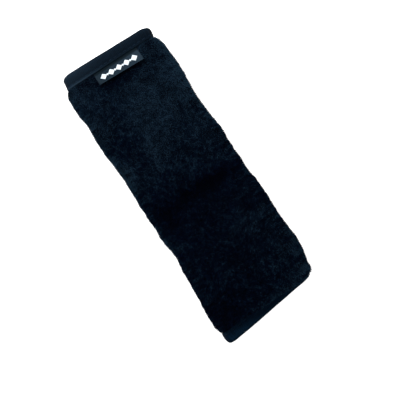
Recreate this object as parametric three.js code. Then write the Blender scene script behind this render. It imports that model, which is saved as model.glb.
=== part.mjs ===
// A seat belt shoulder pad: a plush sleeve that wraps round a car's belt where it crosses the
// shoulder. Plush cover, foam and lining are cut as one rectangle, bound with tape on all four
// sides, folded round the belt, and closed along the back by a strip of hook and loop.
//
// Millimetres. X runs across the pad, Y along it towards the head end, which carries the label,
// and Z up. The pad lies on its closed back, and the origin is the middle of its underside.
//
// Every layer is laid out on the same flat pattern. "around" is the distance along the wrap from
// the under flap's edge, "down" the distance from the head end, and "height" the distance outwards
// from the face that touches the belt. place() carries a point of that pattern onto the wrap.

import * as THREE from "three";

// The belt that the sleeve goes on, and the room that it leaves for it.
const beltWidth = 48;
const beltSideClearance = 0.8;
const slotHeight = 5.2;
const foldRadius = 1.8;

// The pad along its length.
const padLength = 167;
const footSkew = 7;
const skewLength = 70;

// The layers, from the belt outwards, and the room between two of them.
const liningThickness = 0.3;
const flapFoam = 0.8;
const foldFoam = 2.3;
const frontFoam = 3.3;
const plushThickness = 1.6;
const sewnPlush = 0.9;
const layerGap = 0.1;

// The padding swells where it has slipped down towards the foot end.
const footSwell = 1.3;
const footSwellAt = 30;
const footSwellReach = 36;

// The crease across the front, where the padding bends over the shoulder. It drops steeply on the
// side of the head end, and comes back slowly.
const creaseAt = 88;
const creaseDepth = 2;
const creaseLip = 5;
const creaseRun = 13;
const creaseReach = 34;

// The binding tape, folded over the layers' edges, and the plush that it presses flat.
const bindingThickness = 0.4;
const boundPlush = 0.45;
const headBindingWidth = 7;
const footBindingWidth = 7;
const edgeBindingWidth = 5;
const endRise = 6;
const edgeRise = 4;
const foamSetback = 1.5;
const bindingButt = 0.3;

// The closure along the back.
const overlap = 30;
const rampLength = 9.5;
const underFlapTuck = 1.2;
const tapeThickness = 0.9;
const tapeSideGap = 0.5;

// The label, folded double, its root caught under the head binding.
const labelWidth = 27;
const labelOffset = 2;
const labelDrop = 7.4;
const labelRoot = 1.8;
const labelThickness = 0.3;
const labelGap = 0.05;
const labelLift = 0.5;

// Facets.
const foldFacets = 3;
const rampFacets = 3;
const turnFacets = 4;
const riseFacets = 2;
const aroundStep = 10;
const downStep = 16;

// Heights of the layers where the binding presses them flat.
const boundLiningInner = bindingThickness + layerGap;
const boundLiningOuter = boundLiningInner + liningThickness;
const boundPlushOuter = boundLiningOuter + 2 * layerGap + boundPlush;
const bindingSpan = boundPlushOuter + labelGap + labelThickness + labelGap + bindingThickness;

// The two flaps lie one over the other, with the two tapes between them.
const sewnFlapThickness = liningThickness + layerGap + flapFoam + layerGap + sewnPlush;
const flapStep = sewnFlapThickness + 2 * tapeThickness + 3 * layerGap;

const slotWidth = beltWidth + 2 * beltSideClearance;
const foldCentre = slotWidth / 2 - foldRadius;
const foldLevel = slotHeight / 2 - foldRadius;
const rampAngle = 2 * Math.atan(flapStep / rampLength);
const rampRadius = rampLength / (2 * Math.sin(rampAngle));
const rampEnd = foldCentre - rampLength;
const underFlapEdge = rampEnd + underFlapTuck;
const outerFlapEdge = underFlapEdge - overlap;

// A straight stretch of the wrap, in the plane across the pad. The way out of it is on the left.
function straight(fromX, fromZ, toX, toZ) {
  const from = new THREE.Vector2(fromX, fromZ);
  const to = new THREE.Vector2(toX, toZ);
  const length = from.distanceTo(to);
  const normal = new THREE.Vector2(fromZ - toZ, toX - fromX).divideScalar(length);
  return { length, marks: [0], at: (along) => ({ point: from.clone().lerp(to, along / length), normal }) };
}

// A bend of the wrap. side is 1 where the centre is on the belt's side, and -1 where it is outside.
function bend(centreX, centreZ, radius, start, sweep, side, facets) {
  const length = radius * Math.abs(sweep);
  const at = (along) => {
    const angle = start + (sweep * along) / length;
    const out = new THREE.Vector2(Math.cos(angle), Math.sin(angle));
    const point = new THREE.Vector2(centreX, centreZ).addScaledVector(out, radius);
    return { point, normal: out.multiplyScalar(side) };
  };
  return { length, marks: Array.from({ length: facets }, (_, k) => (k * length) / facets), at };
}

// Stretches laid end to end. marks are the places where a facet or a stretch starts.
function chain(...parts) {
  const starts = parts.reduce((found, part) => [...found, found.at(-1) + part.length], [0]);
  const at = (along) => {
    const next = starts.findIndex((start) => start > along);
    const i = next < 0 ? parts.length - 1 : next - 1;
    return parts[i].at(along - starts[i]);
  };
  return { length: starts.at(-1), marks: parts.flatMap((part, i) => part.marks.map((mark) => starts[i] + mark)), at };
}

// The face that touches the belt, from the under flap's edge, round the left fold, over the front,
// round the right fold and down the ramp to the outer flap's edge.
const quarter = Math.PI / 2;
const flapLevel = -slotHeight / 2;
const outerFlapLevel = flapLevel - flapStep;
const underFlap = straight(underFlapEdge, flapLevel, -foldCentre, flapLevel);
const leftFold = chain(
  bend(-foldCentre, -foldLevel, foldRadius, -quarter, -quarter, 1, foldFacets),
  straight(-slotWidth / 2, -foldLevel, -slotWidth / 2, foldLevel),
  bend(-foldCentre, foldLevel, foldRadius, Math.PI, -quarter, 1, foldFacets),
);
const front = straight(-foldCentre, slotHeight / 2, foldCentre, slotHeight / 2);
const rightFold = chain(
  bend(foldCentre, foldLevel, foldRadius, quarter, -quarter, 1, foldFacets),
  straight(slotWidth / 2, foldLevel, slotWidth / 2, -foldLevel),
  bend(foldCentre, -foldLevel, foldRadius, 0, -quarter, 1, foldFacets),
);
const ramp = chain(
  bend(foldCentre, flapLevel - rampRadius, rampRadius, quarter, rampAngle, -1, rampFacets),
  bend(rampEnd, outerFlapLevel + rampRadius, rampRadius, rampAngle - quarter, -rampAngle, 1, rampFacets),
);
const outerFlap = straight(rampEnd, outerFlapLevel, outerFlapEdge, outerFlapLevel);
const wrap = chain(underFlap, leftFold, front, rightFold, ramp, outerFlap);

const leftFoldStart = underFlap.length;
const frontStart = leftFoldStart + leftFold.length;
const frontMiddle = frontStart + front.length / 2;
const rightFoldStart = frontStart + front.length;
const rampStart = rightFoldStart + rightFold.length;
const outerFlapStart = rampStart + ramp.length;
const wrapLength = wrap.length;

// 0 before the rise starts, 1 once it is over, and smooth between.
const rise = (distance, length) => THREE.MathUtils.smoothstep(distance, 0, length);

// A soft hump, 1 at its middle and 0 past its reach.
const hump = (distance, reach) => 1 - rise(Math.abs(distance), reach);

// How deep the crease is at a place of the flat pattern.
function crease(around, down) {
  const past = down - creaseAt;
  const along = past < 0 ? hump(past, creaseLip) : hump(past, creaseRun);
  return creaseDepth * along * hump(around - frontMiddle, creaseReach);
}

// The foot end lies askew: it is drawn up on the right side.
function place(around, down, height) {
  const { point, normal } = wrap.at(around);
  const across = point.x / slotWidth + 0.5;
  const skew = footSkew * across * rise(down - (padLength - skewLength), skewLength);
  const y = padLength / 2 - down + skew;
  return new THREE.Vector3(point.x + normal.x * height, y, point.y + normal.y * height);
}

// 1 in the padded body, and 0 where the binding presses the layers flat.
function fullness(around, down) {
  const ends = rise(down - headBindingWidth, endRise) * rise(padLength - footBindingWidth - down, endRise);
  const fromEdge = Math.min(around, wrapLength - around) - edgeBindingWidth;
  return ends * rise(fromEdge, edgeRise);
}

// Each tape is as wide as the overlap leaves between the two bound edges.
const tapeWidth = overlap - 2 * edgeBindingWidth - tapeSideGap;
const loopStart = edgeBindingWidth + tapeSideGap;
const loopEnd = loopStart + tapeWidth;
const hookEnd = wrapLength - edgeBindingWidth - tapeSideGap;
const hookStart = hookEnd - tapeWidth;

// A size that changes smoothly from one listed place around the wrap to the next.
function between(knots, around) {
  const next = Math.max(1, knots.findIndex(([place]) => place >= around));
  const [[from, before], [to, after]] = [knots[next - 1], knots[next]];
  return THREE.MathUtils.lerp(before, after, rise(around - from, to - from));
}

function foamThickness(around, down) {
  const flat = between(
    [
      [0, flapFoam],
      [loopEnd, flapFoam],
      [leftFoldStart, foldFoam],
      [frontStart, foldFoam],
      [frontMiddle, frontFoam],
      [rightFoldStart, foldFoam],
      [rampStart, foldFoam],
      [outerFlapStart, flapFoam],
      [wrapLength, flapFoam],
    ],
    around,
  );
  const pastTapes = rise(around - loopEnd, leftFoldStart - loopEnd);
  const beforeFlap = rise(outerFlapStart - around, outerFlapStart - rampStart);
  const swell = footSwell * hump(down - (padLength - footSwellAt), footSwellReach);
  return flat + pastTapes * beforeFlap * swell - crease(around, down);
}

// The loop tape's stitching presses the plush of the under flap.
function plushAt(around) {
  return between(
    [
      [0, sewnPlush],
      [loopEnd, sewnPlush],
      [leftFoldStart, plushThickness],
      [wrapLength, plushThickness],
    ],
    around,
  );
}

const liningInner = (around, down) => boundLiningInner * (1 - fullness(around, down));
const liningOuter = (around, down) => liningInner(around, down) + liningThickness;
const foamInner = (around, down) => liningOuter(around, down) + layerGap;
const foamOuter = (around, down) => foamInner(around, down) + foamThickness(around, down) * fullness(around, down);
const plushInner = (around, down) => foamOuter(around, down) + layerGap;
const plushOuter = (around, down) =>
  plushInner(around, down) + THREE.MathUtils.lerp(boundPlush, plushAt(around), fullness(around, down));

// All the listed places in order, with more between them wherever two lie over a step apart.
function stations(places, step) {
  const ordered = [...new Set(places)].sort((a, b) => a - b);
  const filled = ordered.slice(1).flatMap((to, i) => {
    const from = ordered[i];
    const count = Math.max(1, Math.ceil((to - from) / step - 1e-9));
    return Array.from({ length: count }, (_, k) => from + ((k + 1) * (to - from)) / count);
  });
  return [ordered[0], ...filled];
}

// The places where a rise of the padding needs a station.
const riseFrom = (start, length) =>
  Array.from({ length: riseFacets + 1 }, (_, k) => start + (k * length) / riseFacets);

const labelMiddle = frontMiddle + labelOffset;
const labelStart = labelMiddle - labelWidth / 2;
const labelEnd = labelMiddle + labelWidth / 2;
const flapEdge = bindingSpan / 2;

const aroundStations = stations(
  [
    flapEdge,
    ...riseFrom(edgeBindingWidth, edgeRise),
    edgeBindingWidth + foamSetback,
    loopEnd,
    ...wrap.marks.slice(1),
    labelStart,
    labelEnd,
    wrapLength - edgeBindingWidth - foamSetback,
    ...riseFrom(wrapLength - edgeBindingWidth - edgeRise, edgeRise),
    wrapLength - flapEdge,
  ],
  aroundStep,
);
const padding = riseFrom(headBindingWidth, endRise);
const paddingEnd = riseFrom(padLength - footBindingWidth - endRise, endRise);
const foamHead = headBindingWidth + foamSetback;
const foamFoot = padLength - footBindingWidth - foamSetback;
const creaseSteps = [...riseFrom(creaseAt - creaseLip, creaseLip), ...riseFrom(creaseAt, creaseRun)];
const downStations = stations(
  [flapEdge, ...padding, foamHead, ...creaseSteps, foamFoot, ...paddingEnd, padLength - flapEdge],
  downStep,
);
const within = (list, from, to) => list.filter((place) => place >= from && place <= to);

// A closed mesh from points and triangles, turned so that its faces point out.
function solid(points, triangles) {
  const volume = triangles.reduce((sum, [a, b, c]) => {
    const cross = new THREE.Vector3().crossVectors(points[b], points[c]);
    return sum + points[a].dot(cross);
  }, 0);
  const turned = volume < 0 ? triangles.map(([a, b, c]) => [a, c, b]) : triangles;
  const geometry = new THREE.BufferGeometry().setFromPoints(points);
  geometry.setIndex(turned.flat());
  geometry.computeVertexNormals();
  return geometry;
}

// A sheet of cloth or foam between two heights, over a part of the flat pattern.
function sheet(arounds, downs, innerAt, outerAt) {
  const rows = arounds.length;
  const columns = downs.length;
  const face = (heightAt) => arounds.flatMap((a) => downs.map((d) => place(a, d, heightAt(a, d))));
  const outer = (i, j) => i * columns + j;
  const inner = (i, j) => rows * columns + outer(i, j);
  const triangles = [];
  for (let i = 0; i + 1 < rows; i++)
    for (let j = 0; j + 1 < columns; j++) {
      triangles.push([outer(i, j), outer(i + 1, j), outer(i + 1, j + 1)]);
      triangles.push([outer(i, j), outer(i + 1, j + 1), outer(i, j + 1)]);
      triangles.push([inner(i, j), inner(i + 1, j + 1), inner(i + 1, j)]);
      triangles.push([inner(i, j), inner(i, j + 1), inner(i + 1, j + 1)]);
    }
  const rim = [
    ...arounds.map((_, i) => [i, 0]),
    ...downs.slice(1).map((_, j) => [rows - 1, j + 1]),
    ...arounds.slice(1).map((_, i) => [rows - 2 - i, columns - 1]),
    ...downs.slice(2).map((_, j) => [0, columns - 2 - j]),
  ];
  rim.forEach(([i, j], k) => {
    const [m, n] = rim[(k + 1) % rim.length];
    triangles.push([outer(i, j), inner(i, j), outer(m, n)], [outer(m, n), inner(i, j), inner(m, n)]);
  });
  return solid([...face(outerAt), ...face(innerAt)], triangles);
}

// A closed outline of [distance, height] pairs, swept through a list of stations.
function swept(places, outline, pointAt) {
  const count = outline.length;
  const points = places.flatMap((station) => outline.map((pair) => pointAt(station, pair)));
  const triangles = [];
  for (let i = 0; i + 1 < places.length; i++)
    for (let j = 0; j < count; j++) {
      const here = i * count + j;
      const beside = i * count + ((j + 1) % count);
      triangles.push([here, here + count, beside], [beside, here + count, beside + count]);
    }
  const flat = outline.map(([distance, height]) => new THREE.Vector2(distance, height));
  const last = (places.length - 1) * count;
  for (const [a, b, c] of THREE.ShapeUtils.triangulateShape(flat, [])) {
    const lid = THREE.ShapeUtils.isClockWise(flat) ? [a, c, b] : [a, b, c];
    triangles.push(lid, lid.map((corner) => last + corner).reverse());
  }
  return solid(points, triangles);
}

// Binding tape folded over an edge: an outer leaf, the turn, and an inner leaf.
function bindingOutline(width) {
  const middle = bindingSpan / 2;
  const turn = (radius, back) =>
    Array.from({ length: turnFacets + 1 }, (_, k) => {
      const angle = quarter + (Math.PI * (back ? turnFacets - k : k)) / turnFacets;
      return [middle + radius * Math.cos(angle), middle + radius * Math.sin(angle)];
    });
  return [
    [width, bindingSpan],
    ...turn(middle, false),
    [width, 0],
    [width, bindingThickness],
    ...turn(middle - bindingThickness, true),
    [width, bindingSpan - bindingThickness],
  ];
}

// Binding along an end of the pad. outwards is 1 at the head end and -1 at the foot end.
function endBinding(width, outwards) {
  const from = outwards > 0 ? 0 : padLength;
  const around = [0, ...aroundStations.slice(1, -1), wrapLength];
  return swept(around, bindingOutline(width), (a, [d, h]) => place(a, from + outwards * d, h));
}

// Binding along the edge of a flap, between the two end bindings.
function flapBinding(edge, inwards) {
  const downs = downStations.slice(1, -1);
  downs[0] += bindingButt;
  downs[downs.length - 1] -= bindingButt;
  return swept(downs, bindingOutline(edgeBindingWidth), (d, [a, h]) => place(edge + inwards * a, d, h));
}

// A flat tape along the pad, sewn down between the two rises of the padding.
function closureTape(from, to, base) {
  const downs = within(downStations, headBindingWidth + endRise, padLength - footBindingWidth - endRise);
  const outline = [
    [from, base],
    [to, base],
    [to, base + tapeThickness],
    [from, base + tapeThickness],
  ];
  return swept(downs, outline, (d, [a, h]) => place(a, d, h));
}

// The label follows the plush, and its free edge lifts off it.
function label() {
  const root = headBindingWidth - labelRoot;
  const tip = headBindingWidth + labelDrop;
  const downs = stations([root, ...within(downStations, root, tip), tip], labelDrop / riseFacets);
  const under = (a, d) => plushOuter(a, d) + labelGap + labelLift * rise(d - headBindingWidth, labelDrop) ** 2;
  const over = (a, d) => under(a, d) + labelThickness;
  return sheet(within(aroundStations, labelStart, labelEnd), downs, under, over);
}

const cloth = (color, roughness) => new THREE.MeshStandardMaterial({ color, roughness, metalness: 0 });
const plush = cloth("#0b121b", 0.95);
const bindingTape = cloth("#16222f", 0.8);
const liningCloth = cloth("#10171f", 0.9);
const foam = cloth("#d8d6cf", 0.95);
const satin = cloth("#1b2a38", 0.45);
const hookTape = cloth("#0d1218", 0.6);
const loopTape = cloth("#11171e", 0.95);

const foamEdge = edgeBindingWidth + foamSetback;
const foamArounds = within(aroundStations, foamEdge, wrapLength - foamEdge);
const foamDowns = within(downStations, foamHead, foamFoot);
const liningDowns = [flapEdge, ...padding, ...paddingEnd, padLength - flapEdge];

const pad = new THREE.Group();
function add(name, geometry, material) {
  const mesh = new THREE.Mesh(geometry, material);
  mesh.name = name;
  pad.add(mesh);
}
add("plush_cover", sheet(aroundStations, downStations, plushInner, plushOuter), plush);
add("foam_padding", sheet(foamArounds, foamDowns, foamInner, foamOuter), foam);
add("inner_lining", sheet(aroundStations, liningDowns, liningInner, liningOuter), liningCloth);
add("head_binding", endBinding(headBindingWidth, 1), bindingTape);
add("foot_binding", endBinding(footBindingWidth, -1), bindingTape);
add("under_flap_binding", flapBinding(0, 1), bindingTape);
add("outer_flap_binding", flapBinding(wrapLength, -1), bindingTape);
add("loop_strip", closureTape(loopStart, loopEnd, sewnFlapThickness + layerGap), loopTape);
add("hook_strip", closureTape(hookStart, hookEnd, -layerGap - tapeThickness), hookTape);
add("label_tab", label(), satin);

// The origin is the middle of the underside.
const extent = new THREE.Box3().setFromObject(pad);
const middle = extent.getCenter(new THREE.Vector3());
for (const mesh of pad.children) mesh.position.set(-middle.x, -middle.y, -extent.min.z);

export default pad;
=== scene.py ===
"""Dresses a seat belt shoulder pad: a plush sleeve that is wrapped round a flat slot.

The sleeve is one padded blank, bound with woven tape, folded round the slot and closed along its
back. Every piece is laid out on that blank's flat pattern and carried onto the wrap by one mapping:
"around" runs along the wrap from the under flap's edge, "down" runs from the head end to the foot
end, and "height" is the distance outwards from the sleeve's inner face.

Lengths are millimetres up to the point where a mesh is made, and metres in the scene.
"""

from __future__ import annotations

import logging
import math
from dataclasses import dataclass, field, replace
from enum import Enum
from functools import cached_property
from typing import Sequence

import bpy
import numpy as np
from mathutils import Matrix, Vector

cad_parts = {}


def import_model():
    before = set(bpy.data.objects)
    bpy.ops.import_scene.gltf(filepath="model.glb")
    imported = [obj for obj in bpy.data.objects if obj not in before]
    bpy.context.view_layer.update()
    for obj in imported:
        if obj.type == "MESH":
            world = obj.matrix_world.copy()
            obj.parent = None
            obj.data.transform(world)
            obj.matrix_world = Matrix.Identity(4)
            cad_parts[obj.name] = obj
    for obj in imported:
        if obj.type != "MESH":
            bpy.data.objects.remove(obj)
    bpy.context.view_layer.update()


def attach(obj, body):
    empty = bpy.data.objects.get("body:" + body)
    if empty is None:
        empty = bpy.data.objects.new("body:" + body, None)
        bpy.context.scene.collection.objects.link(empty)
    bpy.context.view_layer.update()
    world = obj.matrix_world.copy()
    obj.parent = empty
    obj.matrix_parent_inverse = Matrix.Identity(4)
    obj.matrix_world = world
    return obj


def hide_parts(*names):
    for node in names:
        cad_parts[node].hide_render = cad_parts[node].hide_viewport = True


log = logging.getLogger("shoulder_pad")

Array = np.ndarray
MM = 0.001
BODY = "root"

# A seam is drawn with points at so many steps to each stitch, and a stitch is so many mm long.
STITCH_STEPS = 4
STITCH_PITCH = 3.0

# The empty margin around each sheet's place on the unwrapped square.
SHEET_MARGIN = 0.01


class Slot(Enum):
    """The record's material slots."""

    PLUSH = "plush"
    FOAM = "foam"
    LINING = "lining"
    BINDING = "binding"
    LOOP = "loop_tape"
    HOOK = "hook_tape"
    LABEL = "label"


# Numbers on arrays


def rise(distance: Array, length: float) -> Array:
    """0 before a rise starts, 1 once it is over, with no kink at either end: 3t² - 2t³.

    Args:
        distance: How far past the start of the rise each point lies.
        length: The rise's length.

    Returns:
        The share of the rise at each point.
    """
    share = np.clip(distance / length, 0.0, 1.0)
    return share * share * (3.0 - 2.0 * share)


def puff(distance: Array, length: float) -> Array:
    """A stuffed edge's rise, steep at the seam and level at the top: t(2 - t).

    Args:
        distance: How far past the seam each point lies.
        length: How far in the padding reaches its full height.

    Returns:
        The share of the full height at each point.
    """
    share = np.clip(distance / length, 0.0, 1.0)
    return share * (2.0 - share)


def bell(distance: Array, reach: float) -> Array:
    """A soft hump, exp(-(x / reach)²)."""
    return np.exp(-((distance / reach) ** 2))


def rounded(distance: Array, reach: float, least: float) -> Array:
    """A rounded rim's share of the full thickness: √(least + (1 - least) · t).

    Args:
        distance: How far in from the rim each point lies.
        reach: How far in the full thickness starts, where t comes to 1.
        least: The square of the share at the rim itself.

    Returns:
        The share at each point.
    """
    return np.sqrt(least + (1 - least) * np.clip(distance / reach, 0.0, 1.0))


def unit(vectors: Array) -> Array:
    """Vectors scaled to a length of 1, along the last axis."""
    return vectors / np.linalg.norm(vectors, axis=-1, keepdims=True)


def limited(vectors: Array, most: float) -> Array:
    """Shortens vectors smoothly, so that none is longer than a limit: most · tanh(length / most).

    Args:
        vectors: Vectors along the last axis.
        most: The greatest length.

    Returns:
        The vectors, each in its own direction.
    """
    length = np.linalg.norm(vectors, axis=-1, keepdims=True)
    return vectors * (most * np.tanh(length / most) / np.maximum(length, 1e-9))


@dataclass(frozen=True)
class Layer:
    """One layer of a random field: how strong it is, its pitch, and where the lattice is read."""

    strength: float
    pitch: float
    shift_x: float = 0.0
    shift_y: float = 0.0


class LatticeNoise:
    """A smooth random field on a plane: random values on a square lattice, blended by rise()."""

    def __init__(self, seed: int, size: int = 256) -> None:
        """Draws the lattice.

        Args:
            seed: The seed of the draw.
            size: How many lattice points a side has before the field repeats.
        """
        self.values = np.random.default_rng(seed).uniform(-1.0, 1.0, (size, size))

    def at(self, x: Array, y: Array, pitch: float) -> Array:
        """The field between -1 and 1.

        Args:
            x: First coordinate.
            y: Second coordinate.
            pitch: The distance between two lattice points.

        Returns:
            The field's value at each point.
        """
        u, v = np.broadcast_arrays(x / pitch, y / pitch)
        i, j = np.floor(u).astype(int), np.floor(v).astype(int)
        f, g = rise(u - i, 1.0), rise(v - j, 1.0)
        n = len(self.values)
        near = self.values[i % n, j % n] * (1 - f) + self.values[(i + 1) % n, j % n] * f
        far = self.values[i % n, (j + 1) % n] * (1 - f) + self.values[(i + 1) % n, (j + 1) % n] * f
        return near * (1 - g) + far * g

    def layered(self, x: Array, y: Array, layers: Sequence[Layer]) -> Array:
        """Several layers of the field added up, each as strength · field.

        Args:
            x: First coordinate.
            y: Second coordinate.
            layers: The layers in order.

        Returns:
            The sum at each point.
        """
        return sum(
            layer.strength * self.at(x + layer.shift_x, y + layer.shift_y, layer.pitch)
            for layer in layers
        )


@dataclass(frozen=True)
class GridField:
    """Values on an even grid, read between its points by Catmull-Rom cubics in both directions."""

    values: Array
    start: tuple[float, float]
    step: tuple[float, float]

    def at(self, first: Array, second: Array) -> Array:
        """The field at any point. Past the grid's edge it keeps the edge's value.

        Args:
            first: Coordinate along the grid's first axis.
            second: Coordinate along its second axis.

        Returns:
            One value, or one vector, for each point.
        """
        first, second = np.broadcast_arrays(first, second)
        index, weights = [], []
        for axis, coordinate in enumerate((first, second)):
            last = self.values.shape[axis] - 1
            place = np.clip((coordinate - self.start[axis]) / self.step[axis], 0, last)
            base = np.minimum(np.floor(place).astype(int), last - 1)
            t = place - base
            index.append([np.clip(base + k, 0, last) for k in (-1, 0, 1, 2)])
            square, cube = t**2, t**3
            cubics = (-t + 2 * square - cube, 2 - 5 * square + 3 * cube, t + 4 * square - 3 * cube)
            weights.append([0.5 * cubic for cubic in (*cubics, -square + cube)])
        total = np.zeros(first.shape + self.values.shape[2:])
        for i, wi in zip(index[0], weights[0]):
            for j, wj in zip(index[1], weights[1]):
                total += (wi * wj)[..., None] * self.values[i, j]
        return total


# The wrap's section


@dataclass(frozen=True)
class Straight:
    """A straight stretch of the wrap's section. The way out of it is on the left."""

    start: tuple[float, float]
    end: tuple[float, float]

    @property
    def length(self) -> float:
        """How long the stretch is."""
        return math.dist(self.start, self.end)

    def at(self, along: Array) -> tuple[Array, Array]:
        """Points and outward normals, (x, z) each, at distances along the stretch."""
        way = (np.array(self.end) - self.start) / self.length
        return self.start + along[..., None] * way, np.tile([-way[1], way[0]], (*along.shape, 1))


@dataclass(frozen=True)
class Bend:
    """An arc of the wrap's section. side is 1 where its centre is on the slot's side, else -1."""

    centre: tuple[float, float]
    radius: float
    start: float
    sweep: float
    side: int

    @property
    def length(self) -> float:
        """How long the arc is."""
        return self.radius * abs(self.sweep)

    def at(self, along: Array) -> tuple[Array, Array]:
        """Points and outward normals, (x, z) each: centre + radius · (cos, sin) of the angle.

        Args:
            along: Distances along the arc.

        Returns:
            The points and the normals.
        """
        angle = self.start + self.sweep * along / self.length
        out = np.stack([np.cos(angle), np.sin(angle)], -1)
        return np.array(self.centre) + self.radius * out, out * self.side


@dataclass(frozen=True)
class Chain:
    """Stretches laid end to end."""

    parts: tuple[Straight | Bend | Chain, ...]

    @cached_property
    def starts(self) -> Array:
        """Where each stretch starts, and where the last one ends."""
        return np.concatenate([[0.0], np.cumsum([part.length for part in self.parts])])

    @property
    def length(self) -> float:
        """How long the chain is."""
        return float(self.starts[-1])

    def at(self, along: Array) -> tuple[Array, Array]:
        """Points and outward normals, (x, z) each, of the stretch that each distance falls on.

        Args:
            along: Distances along the chain.

        Returns:
            The points and the normals.
        """
        along = np.asarray(along, float)
        point, normal = np.empty((*along.shape, 2)), np.empty((*along.shape, 2))
        found = np.clip(np.searchsorted(self.starts, along, side="right") - 1, 0, len(self.parts) - 1)
        for i, part in enumerate(self.parts):
            here = found == i
            point[here], normal[here] = part.at(along[here] - self.starts[i])
        return point, normal


@dataclass(frozen=True)
class SideWave:
    """Where one long side of the sleeve stands out, or in where out is below 0: a bell along y."""

    y: float
    out: float
    reach: float


@dataclass(frozen=True)
class Blank:
    """The flat pattern of the sleeve, its layers and the way that it is wrapped.

    gap lies between all layers. foot_swell is the foam that has slipped towards the foot end, and
    foot_swell_at is its distance from that end. head_slant turns the head end. head_pull and
    foot_pull draw in its and the foot end's corners, on the left and on the right, between
    corner_from and corner_to off the middle. The waves are the long sides' own.
    """

    held_width: float = 48.0
    held_side_clearance: float = 0.8
    slot_height: float = 5.2
    fold_radius: float = 1.8
    length: float = 167.0
    foot_skew: float = 7.0
    skew_length: float = 70.0
    lining: float = 0.3
    flap_foam: float = 0.8
    fold_foam: float = 2.3
    front_foam: float = 3.3
    plush: float = 1.6
    sewn_plush: float = 0.9
    gap: float = 0.1
    foot_swell: float = 1.3
    foot_swell_at: float = 30.0
    foot_swell_reach: float = 36.0
    tape: float = 0.4
    bound_plush: float = 0.45
    head_binding: float = 7.0
    foot_binding: float = 7.0
    edge_binding: float = 5.0
    end_rise: float = 6.0
    edge_rise: float = 4.0
    overlap: float = 30.0
    ramp_length: float = 9.5
    under_flap_tuck: float = 1.2
    closure_tape: float = 0.9
    tape_side_gap: float = 0.5
    label_thickness: float = 0.3
    label_gap: float = 0.05
    head_slant: float = 1.1
    head_pull: tuple[float, float] = (1.6, 1.6)
    foot_pull: tuple[float, float] = (0.4, 1.0)
    corner_from: float = 21.0
    corner_to: float = 27.5
    corner_depth: float = 9.0
    corner_most: float = 1.2
    left_waves: tuple[SideWave, ...] = (
        SideWave(76.2, 0.6, 3.0), SideWave(66.0, 0.9, 10.0), SideWave(38.0, 0.7, 12.0),
        SideWave(14.0, -0.1, 11.0), SideWave(-5.0, 1.2, 7.0), SideWave(-17.0, 0.5, 5.0),
        SideWave(-28.0, -0.4, 6.0), SideWave(-47.0, -0.9, 12.0), SideWave(-67.0, 1.0, 9.0),
        SideWave(-73.0, -0.5, 2.0), SideWave(-79.0, 2.2, 6.0),
    )
    right_waves: tuple[SideWave, ...] = (
        SideWave(79.0, 0.3, 2.5), SideWave(73.0, -0.3, 2.5), SideWave(73.5, -0.7, 7.5),
        SideWave(54.0, 0.5, 10.0), SideWave(40.0, -0.3, 12.0), SideWave(16.0, 1.3, 14.0),
        SideWave(-7.0, 0.8, 8.0), SideWave(-17.0, 0.5, 5.0), SideWave(-25.0, 2.1, 17.0),
        SideWave(-56.0, 1.5, 12.0), SideWave(-69.0, -1.0, 4.5), SideWave(-77.0, 0.3, 5.0),
    )

    @property
    def slot_width(self) -> float:
        """The slot's width: what it holds, with a clearance on either side."""
        return self.held_width + 2 * self.held_side_clearance

    @property
    def sewn_flap(self) -> float:
        """The under flap's thickness where the loop tape is sewn on."""
        return self.lining + self.gap + self.flap_foam + self.gap + self.sewn_plush

    @property
    def flap_step(self) -> float:
        """From the under flap's inner face down to the outer flap's."""
        return self.sewn_flap + 2 * self.closure_tape + 3 * self.gap

    @property
    def level(self) -> float:
        """The height of the slot's middle over the surface that the pad lies on."""
        outer_flap = self.lining + self.gap + self.flap_foam + self.gap + self.plush
        return self.slot_height / 2 + self.flap_step + outer_flap

    @property
    def fold_centre(self) -> float:
        """How far the folds' centres lie from the middle."""
        return self.slot_width / 2 - self.fold_radius

    @property
    def ramp_end(self) -> float:
        """Where the outer flap comes down to its level, across the pad."""
        return self.fold_centre - self.ramp_length

    @property
    def under_flap_edge(self) -> float:
        """Where the under flap's edge lies, across the pad."""
        return self.ramp_end + self.under_flap_tuck

    @cached_property
    def stretches(self) -> tuple[Straight | Chain, ...]:
        """The section's stretches in order.

        Returns:
            Under flap, left fold, front, right fold, ramp and outer flap.
        """
        half, radius, centre = self.slot_width / 2, self.fold_radius, self.fold_centre
        flap = -self.slot_height / 2
        bend_at = -flap - radius
        outer = flap - self.flap_step
        turn = 2 * math.atan(self.flap_step / self.ramp_length)
        ramp_radius = self.ramp_length / (2 * math.sin(turn))
        quarter = math.pi / 2
        left_fold, right_fold = (
            Chain(
                (
                    Bend((side * centre, side * bend_at), radius, side * quarter, -quarter, 1),
                    Straight((side * half, side * bend_at), (side * half, -side * bend_at)),
                    Bend((side * centre, -side * bend_at), radius, start, -quarter, 1),
                )
            )
            for side, start in ((-1, math.pi), (1, 0.0))
        )
        ramp = Chain(
            (
                Bend((centre, flap - ramp_radius), ramp_radius, quarter, turn, -1),
                Bend((self.ramp_end, outer + ramp_radius), ramp_radius, turn - quarter, -turn, 1),
            )
        )
        return (
            Straight((self.under_flap_edge, flap), (-centre, flap)),
            left_fold,
            Straight((-centre, -flap), (centre, -flap)),
            right_fold,
            ramp,
            Straight((self.ramp_end, outer), (self.under_flap_edge - self.overlap, outer)),
        )

    @cached_property
    def wrap(self) -> Chain:
        """The section of the sleeve's inner face."""
        return Chain(self.stretches)

    @property
    def width(self) -> float:
        """The blank's width, all the way around the wrap."""
        return self.wrap.length

    @property
    def left_fold(self) -> float:
        """Where the left fold starts."""
        return float(self.wrap.starts[1])

    @property
    def front(self) -> float:
        """Where the front starts."""
        return float(self.wrap.starts[2])

    @property
    def front_middle(self) -> float:
        """The middle of the front."""
        return float(self.wrap.starts[2] + self.wrap.starts[3]) / 2

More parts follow.
